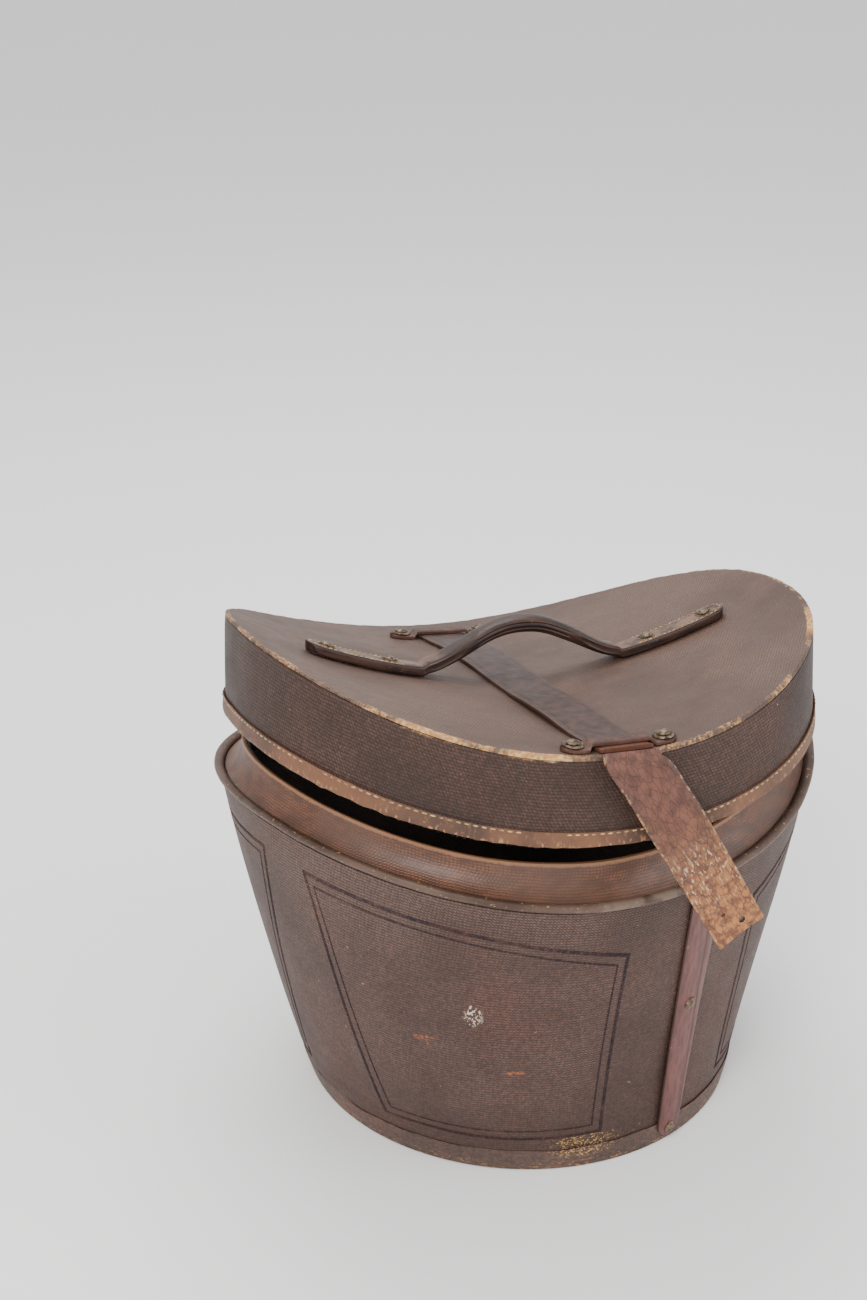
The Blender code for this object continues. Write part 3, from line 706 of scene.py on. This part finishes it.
def collar_profile(offset):
    """Outside of the collar from its tuck to its rim: a hollow, then nearly upright."""
    tuck = WALL + GAP
    points = [(tuck + offset, -COLLAR_TUCK), (tuck + offset, -PIPING_R), (tuck + offset, COLLAR_FOOT)]
    for k in range(1, 9):
        s = k / 8
        lean = COLLAR_LEAN - (COLLAR_LEAN - tuck) * (1 - s) ** 2.1
        height = COLLAR_FOOT + (COLLAR_H - COLLAR_FOOT) * s ** 1.08
        points.append((lean + offset, height - 0.6 * offset * (1 - s)))
    return points


def collar_ring(inset, lift):
    return body_ring(1 + lift / MOUTH_Z, -inset) if lift < 0 else body_ring(1.0, -inset, lift)


def collar(look):
    outside = collar_profile(0.0)
    rim_in, rim_z = outside[-1]
    rim = [(rim_in + 0.0005, rim_z + 0.0004), (rim_in + COLLAR_BOARD - 0.0005, rim_z + 0.0004)]
    rows = [collar_ring(i, z) for i, z in outside + rim + collar_profile(COLLAR_BOARD)[::-1]]
    rows = [dented(row, 0.0007, 22, 5.0) if 3 <= k <= 13 else row for k, row in enumerate(rows)]
    heights = [abs(COLLAR_H - z) for _, z in outside]
    far = heights + [0.0] * (len(rows) - len(heights))
    loft("collar_shell", rows, look, "box", ("collar",), edge=lambda r, c: far[r])


def body_lining(look):
    clear = WALL + GAP + COLLAR_BOARD + GAP
    heights = [0.040, 0.20, 0.40, 0.60, 0.80]
    profile = collar_profile(COLLAR_BOARD + GAP)[1:]
    profile[-1] = (profile[-1][0], COLLAR_H - 0.001)
    outside = [body_ring(q, -clear) for q in heights] + [collar_ring(i, z) for i, z in profile]
    inside = [body_ring(q, -clear - SKIN) for q in heights]
    inside += [collar_ring(i + SKIN, z) for i, z in profile]
    loft("body_cloth", outside + inside[::-1], look, "box", ("body_lining",))


def wall_point(x, q, out, side):
    a, b, n = body_axes(q, out)
    y = b * (1 - (abs(x) / a) ** n) ** (1 / n)
    return Vector((x, side * y, (MOUTH_Z + MOUTH_SADDLE * (x / MOUTH_A) ** 2) * q))


def turn_point(turn, q, out):
    """Point on the wall at a turn in degrees (-90 is the front)."""
    a, b, n = body_axes(q, out)
    x, y = a * power(cos(radians(turn)), 2 / n), b * power(sin(radians(turn)), 2 / n)
    return Vector((x, y, (MOUTH_Z + MOUTH_SADDLE * (x / MOUTH_A) ** 2) * q))


def cut(half, thick, crown=0.0, groove=None, steps=12):
    """Cross-section of a flat strap as (x, z) round a loop; the top face comes first."""
    top = []
    for k in range(steps + 1):
        x = half * (2 * k / steps - 1)
        near = abs(x) / half
        z = thick + crown * (1 - near * near) - thick * 0.30 * ramp(near, 0.86, 1.0)
        if groove:
            z -= 0.00035 * max(0.0, 1 - abs(half - abs(x) - groove) / 0.0009)
        top.append((x, z))
    under = [(half * (1 - 2 * k / steps), 0.0) for k in range(steps + 1)]
    return top + under


def ribbon(name, stations, section, place, look, body, nodes):
    """Strap through stations; section(s) gives its loop and place(s, x, z) puts a point."""
    rows, widths = [], []
    for s in stations:
        loop = section(s)
        half = max(x for x, _ in loop)
        widths.append([half - abs(x) for x, _ in loop])
        rows.append([place(s, x, z) for x, z in loop])
    return loft(name, rows, look, body, nodes, close_rows=False, caps=True,
                edge=lambda r, c: widths[r][c])


def eased_ends(count, share=0.04):
    """Stations from 0 to 1 that crowd towards both ends."""
    inner = [share + (1 - 2 * share) * k / count for k in range(count + 1)]
    start = [share * (1 - cos(pi / 2 * k / 5)) for k in range(5)]
    return start + inner + [1 - s for s in start[::-1]]


def seam_strip(name, side, look, brass):
    under = GAP + BINDING_T + GAP
    top_q, end_q = STRIP_SPAN_Q

    def section(s):
        half = (STRIP_TOP_W + (STRIP_END_W - STRIP_TOP_W) * s) / 2
        tip = max(0.0, (s - 0.955) / 0.045)
        return cut(half * (1 - tip ** 2.2 * 0.72), STRIP_T, 0.0003, 0.0022)

    def place(s, x, z):
        q = top_q + (end_q - top_q) * s
        fold = -0.00045 * max(0.0, 1 - abs(x - 0.0042) / 0.0012) if z > STRIP_T / 2 else 0.0
        return wall_point(-x * side, q, under + z + fold, side)
    ribbon(name + "_leather", eased_ends(40), section, place, look, "box", (name,))
    label = name.split("_")[0]
    for spot, q in zip(("top", "middle", "bottom"), STRIP_RIVET_Q):
        below, above = wall_point(0, q - 0.02, 0, side), wall_point(0, q + 0.02, 0, side)
        out = Vector((side, 0, 0)).cross(below - above).normalized()
        head = wall_point(0, q, under + STRIP_T + GAP, side)
        rivet(f"{label}_strip_rivet_{spot}", head, out, brass, "box")


def rivet(node, place, axis, brass, body):
    """Domed head with a rolled rim."""
    dome = [(1.0, 0.0), (1.0, 0.25), (0.93, 0.42), (0.84, 0.36), (0.74, 0.55),
            (0.54, 0.82), (0.28, 0.97), (0.05, 1.0)]
    profile = [(0.6 * RIVET_R, -0.0003)] + [(r * RIVET_R, h * RIVET_H) for r, h in dome]
    lathe(node + "_head", profile, place, axis, brass, body, node, dent=0.00012)


PANEL_GAP, PANEL_BOLD, PANEL_FINE = 0.0062, 0.0021, 0.0010
PANEL_TOP_TURN, PANEL_TOP_SWEEP, PANEL_LOW_RIGHT, PANEL_LOW_LEFT = -174.5, 69.5, -110.0, -165.0
PANEL_TOP_Q, PANEL_TOP_DROP, PANEL_LOW_Q = 0.894, 0.085, 0.134
PANEL_METRES_PER_Q, PANEL_METRES_PER_RADIAN = 0.20, 0.165


def panel_outline(inset):
    """Front-left painted panel as (turn, q) corners, run finely; inset in metres."""
    step_q = inset / PANEL_METRES_PER_Q
    step_t = inset / PANEL_METRES_PER_RADIAN * 180 / pi
    path = []
    for k in range(49):
        s = k / 48
        turn = PANEL_TOP_TURN + step_t + (PANEL_TOP_SWEEP - 2 * step_t) * s
        path.append((turn, PANEL_TOP_Q - PANEL_TOP_DROP * s ** 3 - step_q))
    top_right, low_q = path[-1], PANEL_LOW_Q + step_q
    low_right, low_left = PANEL_LOW_RIGHT - step_t, PANEL_LOW_LEFT + step_t
    for k in range(1, 25):
        s = k / 24
        path.append((top_right[0] + (low_right - top_right[0]) * s,
                     top_right[1] + (low_q - top_right[1]) * s))
    for k in range(1, 41):
        path.append((low_right + (low_left - low_right) * k / 40, low_q))
    start = path[0]
    for k in range(1, 25):
        s = k / 24
        path.append((low_left + (start[0] - low_left) * s, low_q + (start[1] - low_q) * s))
    return path[:-1]


def painted_panels(look):
    """Two painted lines, one bold and one fine, round each of the four panels."""
    for label, flip_x, flip_y in (("front_left", 1, 1), ("front_right", -1, 1),
                                  ("back_left", 1, -1), ("back_right", -1, -1)):
        for kind, inset, wide in (("bold", 0.0, PANEL_BOLD), ("fine", PANEL_GAP, PANEL_FINE)):
            outer, inner = panel_outline(inset - wide / 2), panel_outline(inset + wide / 2)
            rows = []
            for path, out in ((outer, 0.0), (outer, 0.00016), (inner, 0.00016), (inner, 0.0)):
                row = []
                for turn, q in path:
                    turn = flip_y * (turn if flip_x > 0 else 180 - turn)
                    p = turn_point(turn, q, 0.0)
                    push = out + WALL_DENT * ripple(p, 9.0) * dent_fade(q)
                    push += wall_crease((turn + 270) % 360 / 360, q)
                    row.append(p + Vector((p.x, p.y, 0)).normalized() * push)
                rows.append(row)
            loft(f"panel_{label}_{kind}", rows, look, "box", ())


# ---------------------------------------------------------------- the lid

def lid_foot(x):
    return MOUTH_Z + LID_SEAT + (MOUTH_SADDLE + LID_WARP) * (x / MOUTH_A) ** 2


def skirt_ring(v, grow, lift=0.0):
    inset = LID_INSET + LID_TAPER * v
    ring = oval(MOUTH_A - inset + grow, MOUTH_B - inset + grow, MOUTH_POWER)
    return [(x, y, lid_foot(x) + v * (SKIRT_H + SKIRT_END * (x / MOUTH_A) ** 2) + lift) for x, y in ring]


def lid_top_z(x, y):
    a, b = MOUTH_A - LID_INSET - LID_TAPER, MOUTH_B - LID_INSET - LID_TAPER
    spread = min((x / a) ** 2 + (y / b) ** 2, 1.0)
    return lid_foot(x) + SKIRT_H + SKIRT_END * (x / MOUTH_A) ** 2 + TOP_CROWN * (1 - spread)


def lid_wave(x, y):
    """Soft undulation of the old lid, nothing at the rim and under the straps."""
    a, b = MOUTH_A - LID_INSET, MOUTH_B - LID_INSET
    rim = 1 - ramp((x / a) ** 2 + (y / b) ** 2, 0.55, 0.95)
    strap = ramp(abs(x - strap_x(y)), STRAP_W * 0.6, STRAP_W * 1.4)
    grip = ramp(abs(y - HANDLE_Y), TAB_W * 0.8, TAB_W * 2.0)
    return 0.0022 * rim * strap * grip * ripple((x, y, 0), 22, 2.0)


def lid_skirt(look):
    under = -TOP_T - GAP
    rows = [skirt_ring(0.0, -0.0006)]
    for k in range(31):
        v = 0.01 + 0.93 * k / 30
        fade = min(1.0, v / 0.25, (0.95 - v) / 0.1 + 0.01)
        rows.append(dented(skirt_ring(v, 0.0), 0.0009, 16, 4.0, fade=fade))
    rows += [skirt_ring(1.0, 0.0, under), skirt_ring(1.0, -SKIRT_T, under), skirt_ring(0.5, -SKIRT_T),
             skirt_ring(0.0, -SKIRT_T + 0.0004)]
    reach = [SKIRT_H * (1 - (0.01 + 0.93 * (k - 1) / 30)) for k in range(len(rows))]
    loft("skirt_shell", rows, look, "lid", ("lid_skirt",),
         edge=lambda r, c: max(reach[r], 0.0))


def lid_band(look):
    """Band sewn round the skirt's lower edge, its raw edge frayed."""
    def torn(x, y):
        return 0.0009 * ripple((x, y, 0), 260) + 0.0003 * ripple((x, y, 0), 70, 8)
    top = BAND_H / SKIRT_H
    rows = []
    for share, out, ragged in ((0.0, 0.2, 1.0), (0.06, 1.0, 0.8), (0.28, 1.1, 0.0), (0.80, 0.72, 0.0),
                               (0.90, 1.0, 0.0), (1.0, 0.9, 0.25), (1.0, 0.0, 0.25)):
        ring = skirt_ring(top * share, GAP + BAND_T * out, -0.0004)
        rows.append([(x, y, z + ragged * torn(x, y)) for x, y, z in ring])
    rows += [skirt_ring(top * 0.95, GAP * 0.5), skirt_ring(0.004, GAP * 0.5)]
    loft("sewn_band", rows, look, "lid", ("lid_stitched_band",))


def band_path(v, grow):
    """Closed fine path round the skirt at v, with its length."""
    ring = [Vector(p) for p in skirt_ring(v, grow)]
    return ring, sum((ring[(i + 1) % COLS] - ring[i]).length for i in range(COLS))


def band_stitches(look):
    ring, length = band_path(STITCH_UP / SKIRT_H, GAP + BAND_T * 0.9)
    count = round(length / STITCH_PITCH)
    parts, travelled, index = [], 0.0, 0
    for k in range(count):
        target = length * k / count
        while True:
            step = (ring[(index + 1) % COLS] - ring[index % COLS]).length
            if travelled + step > target:
                break
            travelled += step
            index += 1
        here, there = ring[index % COLS], ring[(index + 1) % COLS]
        middle = here.lerp(there, (target - travelled) / step)
        along = (there - here).normalized()
        up = Vector((middle.x / MOUTH_A ** 2, middle.y / MOUTH_B ** 2, 0)).normalized()
        tilt = along + Vector((0, 0, 0.10 * ripple(middle, 300)))
        lost = ripple(middle, 35, 9) > 0.42
        if not lost:
            long = STITCH_LONG * (0.92 + 0.25 * ripple(middle, 500))
            parts.append(capsule(middle + up * 0.0001, tilt.normalized(), up, long, STITCH_R))
    cluster("band_stitches", parts, look, "lid")


def band_frays(look):
    """Short fibres standing out of the band's raw lower edge."""
    ring, _ = band_path(0.0, GAP + BAND_T)
    parts = []
    for i in range(COLS):
        for j in range(4):
            base_point = ring[i].lerp(ring[(i + 1) % COLS], j / 4)
            chance = ripple(base_point, 900, j)
            if chance < -0.05 or ripple(base_point, 24, 6) < -0.15:
                continue
            out = Vector((base_point.x, base_point.y, 0)).normalized()
            along = (ring[(i + 1) % COLS] - ring[i]).normalized()
            fall = Vector((0, 0, -1)) + along * 1.6 * ripple(base_point, 1300, 2) + out * 0.5 * chance
            long = 0.0011 + 0.0022 * abs(ripple(base_point, 700, 5))
            root = base_point + Vector((0, 0, 0.0007)) - out * 0.0005
            parts.append(fibre(root, fall.normalized(), out, long))
    cluster("band_frays", parts, look, "lid")


def fibre(start, way, out, long, radius=0.00013):
    side = way.cross(out).normalized()
    rows = []
    for k in range(4):
        s = k / 3
        centre = start + way * long * s + side * 0.15 * long * s * s
        fat = radius * (1 - 0.75 * s)
        rows.append([centre + side * fat * cos(a) + out * fat * sin(a) for a in (0, 2 * pi / 3, 4 * pi / 3)])
    return rows


def top_ring(share, drop, inset=0.0, wave=0.0):
    a = (MOUTH_A - LID_INSET - LID_TAPER - inset) * share
    b = (MOUTH_B - LID_INSET - LID_TAPER - inset) * share
    return [(x, y, lid_top_z(x, y) - drop + wave * lid_wave(x, y)) for x, y in oval(a, b, MOUTH_POWER)]


def lid_top(look):
    """Top board: a saddle with a low crown, its edge rolled over and rubbed."""
    shares = [0.01 + 0.965 * k / 46 for k in range(47)]
    rows = [top_ring(s, 0.0, wave=1.0) for s in shares]
    rows += [top_ring(0.985, 0.0001), top_ring(0.993, 0.0005), top_ring(0.998, 0.0011), top_ring(1.0, 0.0018)]
    rows += [top_ring(1.0, TOP_T - 0.0002)] + [top_ring(0.99 - 0.98 * k / 14, TOP_T) for k in range(15)]
    for k in range(47, 51):
        rows[k] = [(x, y, z + 0.0005 * ripple((x, y, 0), 170)) for x, y, z in rows[k]]
    reach = [(1 - s) * 0.165 for s in shares] + [0.0] * 5 + [0.1] * 15
    loft("top_shell", rows, look, "lid", ("lid_top",),
         close_rows=False, caps=True, edge=lambda r, c: reach[r])


def lid_linings(look):
    inset, drop = SKIRT_T + 2 * GAP, TOP_T + 3 * GAP
    shares = [0.01 + 0.975 * k / 14 for k in range(15)]
    rims = [(s, 0.0) for s in shares] + [(1.0, 0.0003), (1.0, SKIN - 0.0002)]
    rims += [(s, SKIN) for s in shares[::-1]]
    rows = [top_ring(s, drop + d, inset) for s, d in rims]
    loft("top_cloth", rows, look, "lid", ("lid_top_lining",), close_rows=False, caps=True)
    out, under = -SKIRT_T - GAP, -TOP_T - 5 * GAP - SKIN
    steps = [0.03, 0.25, 0.50, 0.75]
    rows = [skirt_ring(v, out) for v in steps]
    rows += [skirt_ring(1.0, out, under), skirt_ring(1.0, out - SKIN, under)]
    rows += [skirt_ring(v, out - SKIN) for v in steps[::-1]]
    loft("skirt_cloth", rows, look, "lid", ("lid_skirt_lining",))


def strap_x(y):
    return STRAP_OFFSET - STRAP_BEND * y ** 3


def on_lid(x, y, lift):
    return Vector((x, y, lid_top_z(x, y) + lift))


def lid_strap(look):
    """Long strap over the lid; it has risen a little off the lid behind the front keeper."""
    start, end = STRAP_Y

    def section(s):
        return cut(STRAP_W / 2, STRAP_T, 0.0002, 0.0032)

    def place(s, x, z):
        y = start + (end - start) * s
        bow = 0.0020 * (ramp(s, 0.55, 0.74) - ramp(s, 0.78, 0.90))
        bow += 0.0007 * (ramp(s, 0.1, 0.25) - ramp(s, 0.3, 0.5))
        x += 0.0006 * ripple((0, y, 0), 40, 4)
        return on_lid(strap_x(y) + x, y, ON_LID + z + bow)
    ribbon("strap_leather", [k / 60 for k in range(61)], section, place, look, "lid",
           ("lid_strap",))


def lid_normal(x, y):
    step = 0.002
    along = on_lid(x + step, y, 0) - on_lid(x - step, y, 0)
    across = on_lid(x, y + step, 0) - on_lid(x, y - step, 0)
    return along.cross(across).normalized()


def keeper(name, y, look, brass):
    """Leather loop across the strap, waisted over it, its round ends riveted down."""
    middle = strap_x(y)
    reach = KEEPER_SPAN + KEEPER_W / 2

    def shape(s):
        x = reach * (2 * s - 1)
        flank = (abs(x) - STRAP_W / 2 - KEEPER_CLEAR) / KEEPER_FLANK
        hump = 1 - ramp(flank, 0.0, 1.0)
        past = min(max(abs(x) - KEEPER_SPAN, 0.0), KEEPER_W / 2 * 0.98)
        half = ((KEEPER_W / 2) ** 2 - past ** 2) ** 0.5
        return x, hump, half * (1 - 0.38 * hump)

    def section(s):
        return cut(shape(s)[2], KEEPER_T, 0.0002, 0.0016)

    def place(s, x, z):
        across, hump, _ = shape(s)
        lift = ON_LID + (STRAP_T + 2 * GAP) * hump
        return on_lid(middle + across, y + x, lift + z)
    ribbon(name + "_leather", eased_ends(44, 0.10), section, place, look, "lid", (name,))
    for label, sign in SIDES:
        x = middle + sign * KEEPER_SPAN
        up = lid_normal(x, y)
        spot = on_lid(x, y, ON_LID + KEEPER_T + 2 * GAP)
        ring = [(1.0, 0.0), (0.98, 0.7), (0.90, 1.15), (0.80, 1.05), (0.74, 0.6), (0.1, 0.6)]
        profile = [(WASHER_R * 0.7, -0.0002)] + [(WASHER_R * r, h * WASHER_T) for r, h in ring]
        node = f"{name}_washer_{label}"
        lathe(node + "_ring", profile, spot, up, brass, "lid", node, dent=0.0001)
        rivet(f"{name}_rivet_{label}", spot + up * (WASHER_T + GAP), up, brass, "lid")


def handle_shape(x):
    """Half width, thickness, lift and roundness of the handle at x."""
    reach = min(abs(x) / HANDLE_TAB, 1.0)
    arch = 0.5 + 0.5 * cos(pi * reach)
    width = TAB_W + (GRIP_W - TAB_W) * arch
    thick = TAB_T + (GRIP_T - TAB_T) * min(1.6 * arch, 1.0)
    past = max(abs(x) - (HANDLE_END - TAB_W / 2), 0.0) / (TAB_W / 2)
    half = width / 2 * (1 - min(past, 0.985) ** 2) ** 0.5
    return half, thick, ON_LID + HANDLE_RISE * arch, min(1.5 * arch, 1.0)


def handle(look):
    """Layered leather: flat sewn ends, and a rounded grip with the layers' lines along it."""
    def section(s):
        half, thick, _, soft = handle_shape(HANDLE_END * (2 * s - 1))
        loop = []
        for k in range(44):
            a = 2 * pi * (k + 0.5) / 44 + pi
            n = 5.0 - 2.6 * soft
            x, z = half * power(cos(a), 2 / n), thick / 2 * power(sin(a), 2 / n)
            layer = abs((z / thick * 4) % 1 - 0.5) < 0.14
            side = ramp(abs(x) / half, 0.80, 0.97)
            x -= (0.00050 * side if layer else 0.0) * (1 if x > 0 else -1)
            loop.append((x, thick / 2 - z))
        return loop

    def place(s, x, z):
        along = HANDLE_END * (2 * s - 1)
        _, _, lift, soft = handle_shape(along)
        wave = 0.0008 * ripple((along, 0, 0), 45, 7) * soft
        across = HANDLE_Y + x + 0.0012 * soft * ripple((along, 0, 0), 18, 3)
        if lift < 0.002:
            return on_lid(along, across, ON_LID + z)
        return Vector((along, across, lid_top_z(along, HANDLE_Y) + lift + z + wave))
    stations = eased_ends(90, 0.032)
    rows, flats = [], []
    for s in stations:
        half, thick, _, soft = handle_shape(HANDLE_END * (2 * s - 1))
        loop = section(s)
        rows.append([place(s, x, z) for x, z in loop])
        flats.append([(1 - soft) * ramp(z / thick, 0.86, 0.99) for x, z in loop])
    loft("handle_leather", rows, look, "lid", ("handle",),
         close_rows=False, caps=True, edge=lambda r, c: flats[r][c])


def handle_trim(stitch_look, brass, ring_look):
    """Stitches round each flat end of the handle, and its ringed rivets."""
    parts = []
    inset, pitch, top = 0.0021, 0.0031, ON_LID + TAB_T + 0.00005
    half = TAB_W / 2 - inset
    inner, outer = HANDLE_TAB + 0.001, HANDLE_END - TAB_W / 2
    for sign in (-1, 1):
        path = []
        steps = round((outer - inner) / pitch)
        path += [(inner + (outer - inner) * k / steps, -half) for k in range(steps)]
        path += [(outer + half * cos(a), half * sin(a)) for a in (pi * (k / 6 - 0.5) for k in range(7))]
        path += [(outer - (outer - inner) * k / steps, half) for k in range(1, steps + 1)]
        for (x0, y0), (x1, y1) in zip(path, path[1:]):
            here = on_lid(sign * x0, HANDLE_Y + y0, top)
            there = on_lid(sign * x1, HANDLE_Y + y1, top)
            up = lid_normal(sign * x0, HANDLE_Y + y0)
            way = there - here
            parts.append(capsule((here + there) / 2, way.normalized(), up, way.length * 0.74, 0.00038))
    cluster("handle_stitches", parts, stitch_look, "lid")
    rings = []
    for side, sign in SIDES:
        for label, x in zip(("inner", "outer"), TAB_RIVET_X):
            spot = on_lid(sign * x, HANDLE_Y, ON_LID + TAB_T + 2 * GAP)
            up = lid_normal(sign * x, HANDLE_Y)
            rivet(f"handle_rivet_{side}_{label}", spot, up, brass, "lid")
            rings.append((spot - up * 0.0005, up))
    parts = []
    wide, narrow = 1.36 * RIVET_R, 1.20 * RIVET_R
    for spot, up in rings:
        turn = up.to_track_quat("Z", "Y").to_matrix()
        for i in range(20):
            a, b = 2 * pi * i / 20, 2 * pi * (i + 1.25) / 20
            here, there = (spot + turn @ Vector((wide * cos(t), narrow * sin(t), 0)) for t in (a, b))
            way = there - here
            parts.append(capsule((here + there) / 2, way.normalized(), up, way.length, 0.00050, 0.0))
    cluster("handle_rivet_rings", parts, ring_look, "lid")


# ---------------------------------------------------------------- the hanging strap end

def strap_tongue(look):
    """Free end of the strap: over the lid's front edge, then down and drawn to one side."""
    spin = LID_PLACE.to_3x3()
    edge_y = -(MOUTH_B - LID_INSET - LID_TAPER)
    fold = LID_PLACE @ on_lid(strap_x(edge_y), edge_y, 0)
    side = (spin @ Vector((1, 0, 0))).normalized()
    out = side.cross(Vector((0, 0, 1))).normalized()
    up = spin @ Vector((0, 0, 1))
    knots = [out * 0.0010 + up * 0.0013, out * 0.0056 - up * 0.0022]
    for share, reach in ((0.10, 0.56), (0.24, 0.78), (0.42, 0.99), (0.60, 1.03), (0.80, 1.03), (1, 1)):
        drop, slide = TONGUE_DROP * share, TONGUE_SIDE * share
        knots.append(out * TONGUE_OUT * reach + side * slide + Vector((0, 0, -drop)))
    path = smooth_path(knots, 10)
    last = len(path) - 1
    rows, widths = [], []
    for k, middle in enumerate(path):
        run = (path[min(k + 1, last)] - path[max(k - 1, 0)]).normalized()
        share = k / last
        face = up.lerp(out + Vector((0, 0, 0.15)), min((share * 7 + 0.3) / 2, 1.0))
        across = side.lerp(face.cross(run).normalized(), min(share * 7 / 4, 1.0)).normalized()
        normal = run.cross(across).normalized()
        if normal.dot(face) < 0:
            normal = -normal
        half = (TONGUE_W + (TONGUE_END_W - TONGUE_W) * share) / 2
        half *= 1 + 0.012 * ripple(middle, 60, 2)
        loop = cut(half, STRAP_T, 0.0, 0.0032, 16)
        curl = 0.0012 * ramp(share, 0.55, 1.0)
        widths.append([half - abs(x) for x, _ in loop])
        rows.append([fold + middle + across * x
                     + normal * (z - STRAP_T / 2 + curl * (x / half) ** 2) for x, z in loop])
    tongue = loft("tongue_leather", rows, look, "tongue", ("strap_tongue",),
                  close_rows=False, caps=True, edge=lambda r, c: widths[r][c])
    return tongue, rows


def smooth_path(knots, steps):
    """Catmull-Rom curve through the knots."""
    path = []
    ends = [knots[0] * 2 - knots[1]] + knots + [knots[-1] * 2 - knots[-2]]
    for a, b, c, d in zip(ends, ends[1:], ends[2:], ends[3:]):
        for k in range(steps):
            t = k / steps
            path.append(0.5 * (2 * b + (c - a) * t + (2 * a - 5 * b + 4 * c - d) * t * t
                               + (3 * b - a - 3 * c + d) * t ** 3))
    return path + [knots[-1]]


def punched_holes(tongue, rows):
    """Two holes punched right through the tongue near its end."""
    for name, place, share, radius in (("end", 0.955, 0.62, 0.0021), ("small", 0.900, 0.36, 0.0012)):
        row = rows[round(place * (len(rows) - 1))]
        top = row[:17]
        spot = top[round(share * 16)]
        along = (rows[-1][8] - rows[-6][8]).normalized()
        axis = (top[-1] - top[0]).cross(along).normalized()
        bpy.ops.mesh.primitive_cylinder_add(vertices=20, radius=radius, depth=0.02, location=spot,
                                            rotation=axis.to_track_quat("Z", "Y").to_euler())
        cutter = bpy.context.object
        hole = tongue.modifiers.new(name, "BOOLEAN")
        hole.operation, hole.object, hole.solver = "DIFFERENCE", cutter, "EXACT"
        shaped = bpy.data.meshes.new_from_object(tongue.evaluated_get(bpy.context.evaluated_depsgraph_get()))
        tongue.modifiers.remove(hole)
        tongue.data = shaped
        bpy.data.objects.remove(cutter, do_unlink=True)


# ---------------------------------------------------------------- stage, lights and camera

def stage():
    mesh = bpy.data.meshes.new("floor")
    size = 6.0
    corners = [(x * size, y * size, 0) for x, y in ((-1, -1), (1, -1), (1, 1), (-1, 1))]
    mesh.from_pydata(corners, [], [(0, 1, 2, 3)])
    floor = bpy.data.objects.new("floor", mesh)
    bpy.context.collection.objects.link(floor)
    look = Look("floor_paper", 0.9, specular=0.1)
    paper = look.mix(look.speckle(3, 2), (0.87, 0.87, 0.87), (0.885, 0.885, 0.885))
    mesh.materials.append(look.done(paper, 0.9))


def soft_light(name, place, aim, size, power_w, tint=(1, 1, 1)):
    data = bpy.data.lights.new(name, "AREA")
    data.shape, data.size, data.energy, data.color = "DISK", size, power_w, tint
    lamp = bpy.data.objects.new(name, data)
    lamp.location = place
    lamp.rotation_euler = (Vector(aim) - Vector(place)).to_track_quat("-Z", "Y").to_euler()
    bpy.context.collection.objects.link(lamp)


def lights():
    world = bpy.data.worlds.new("studio")
    bpy.context.scene.world = world
    world.use_nodes = True
    back = world.node_tree.nodes["Background"]
    back.inputs["Color"].default_value = (1.0, 1.0, 1.0, 1.0)
    back.inputs["Strength"].default_value = 1.10
    soft_light("key", (-1.6, -1.0, 1.7), (0, 0, 0.15), 1.1, 46, (1.0, 0.98, 0.95))
    soft_light("fill", (1.2, -1.7, 1.0), (0, 0, 0.15), 1.4, 18)
    soft_light("top", (0.3, 0.7, 1.9), (0, 0, 0.2), 1.2, 24)


CAMERA_PLACE, CAMERA_LENS = (-0.7917, -0.8978, 0.8300), 58.72


def camera():
    """The photo's viewpoint: its place, its lens in mm, and its right and up directions."""
    right, up = Vector((0.77366, -0.63346, -0.01311)), Vector((0.27069, 0.31174, 0.91079))
    back = right.cross(up)
    data = bpy.data.cameras.new("camera")
    data.lens, data.sensor_width = CAMERA_LENS, 36.0
    view = bpy.data.objects.new("camera", data)
    place = Matrix((right, up, back)).transposed().to_4x4()
    view.matrix_world = Matrix.Translation(CAMERA_PLACE) @ place
    bpy.context.collection.objects.link(view)
    bpy.context.scene.camera = view


# ---------------------------------------------------------------- everything

def bucket(brass, cloth):
    wall = wall_leather()
    body_wall(wall)
    base(wall, cloth)
    bottom_binding(foot_leather())
    ridge_piping(piping_leather())
    collar(collar_leather())
    body_lining(cloth)
    strip = strip_leather()
    seam_strip("front_strip", -1, strip, brass)
    seam_strip("back_strip", 1, strip, brass)
    painted_panels(line_paint())


def lid(brass, cloth):
    lid_skirt(skirt_leather())
    binding = binding_leather()
    lid_band(binding)
    cream = thread("cream_thread", (0.30, 0.17, 0.08), (0.60, 0.41, 0.20))
    band_stitches(cream)
    band_frays(thread("frayed_fibre", (0.16, 0.09, 0.05), (0.42, 0.27, 0.15)))
    lid_top(lid_leather())
    lid_linings(cloth)
    # Painted shadow: besides its own dark leather, the long strap's colours hold the shade cast over it by a
    # hat resting on the box, which is not built.
    dark = strap_leather("strap_dark", (0.024, 0.010, 0.007), (0.056, 0.024, 0.017), False)
    lid_strap(dark)
    loop_leather = strap_leather("keeper_leather", (0.040, 0.015, 0.010), (0.094, 0.037, 0.025), False)
    keeper("front_keeper", FRONT_KEEPER_Y, loop_leather, brass)
    keeper("back_keeper", BACK_KEEPER_Y, loop_leather, brass)
    leather = handle_leather()
    handle(leather)
    handle_trim(cream, brass, brass)


brass, cloth = aged_brass(), lining_cloth()
bucket(brass, cloth)
lid(brass, cloth)
worn_leather = strap_leather("strap_worn", (0.068, 0.021, 0.012), (0.130, 0.044, 0.026), True)
tongue, tongue_rows = strap_tongue(worn_leather)
punched_holes(tongue, tongue_rows)
stage()
lights()
camera()
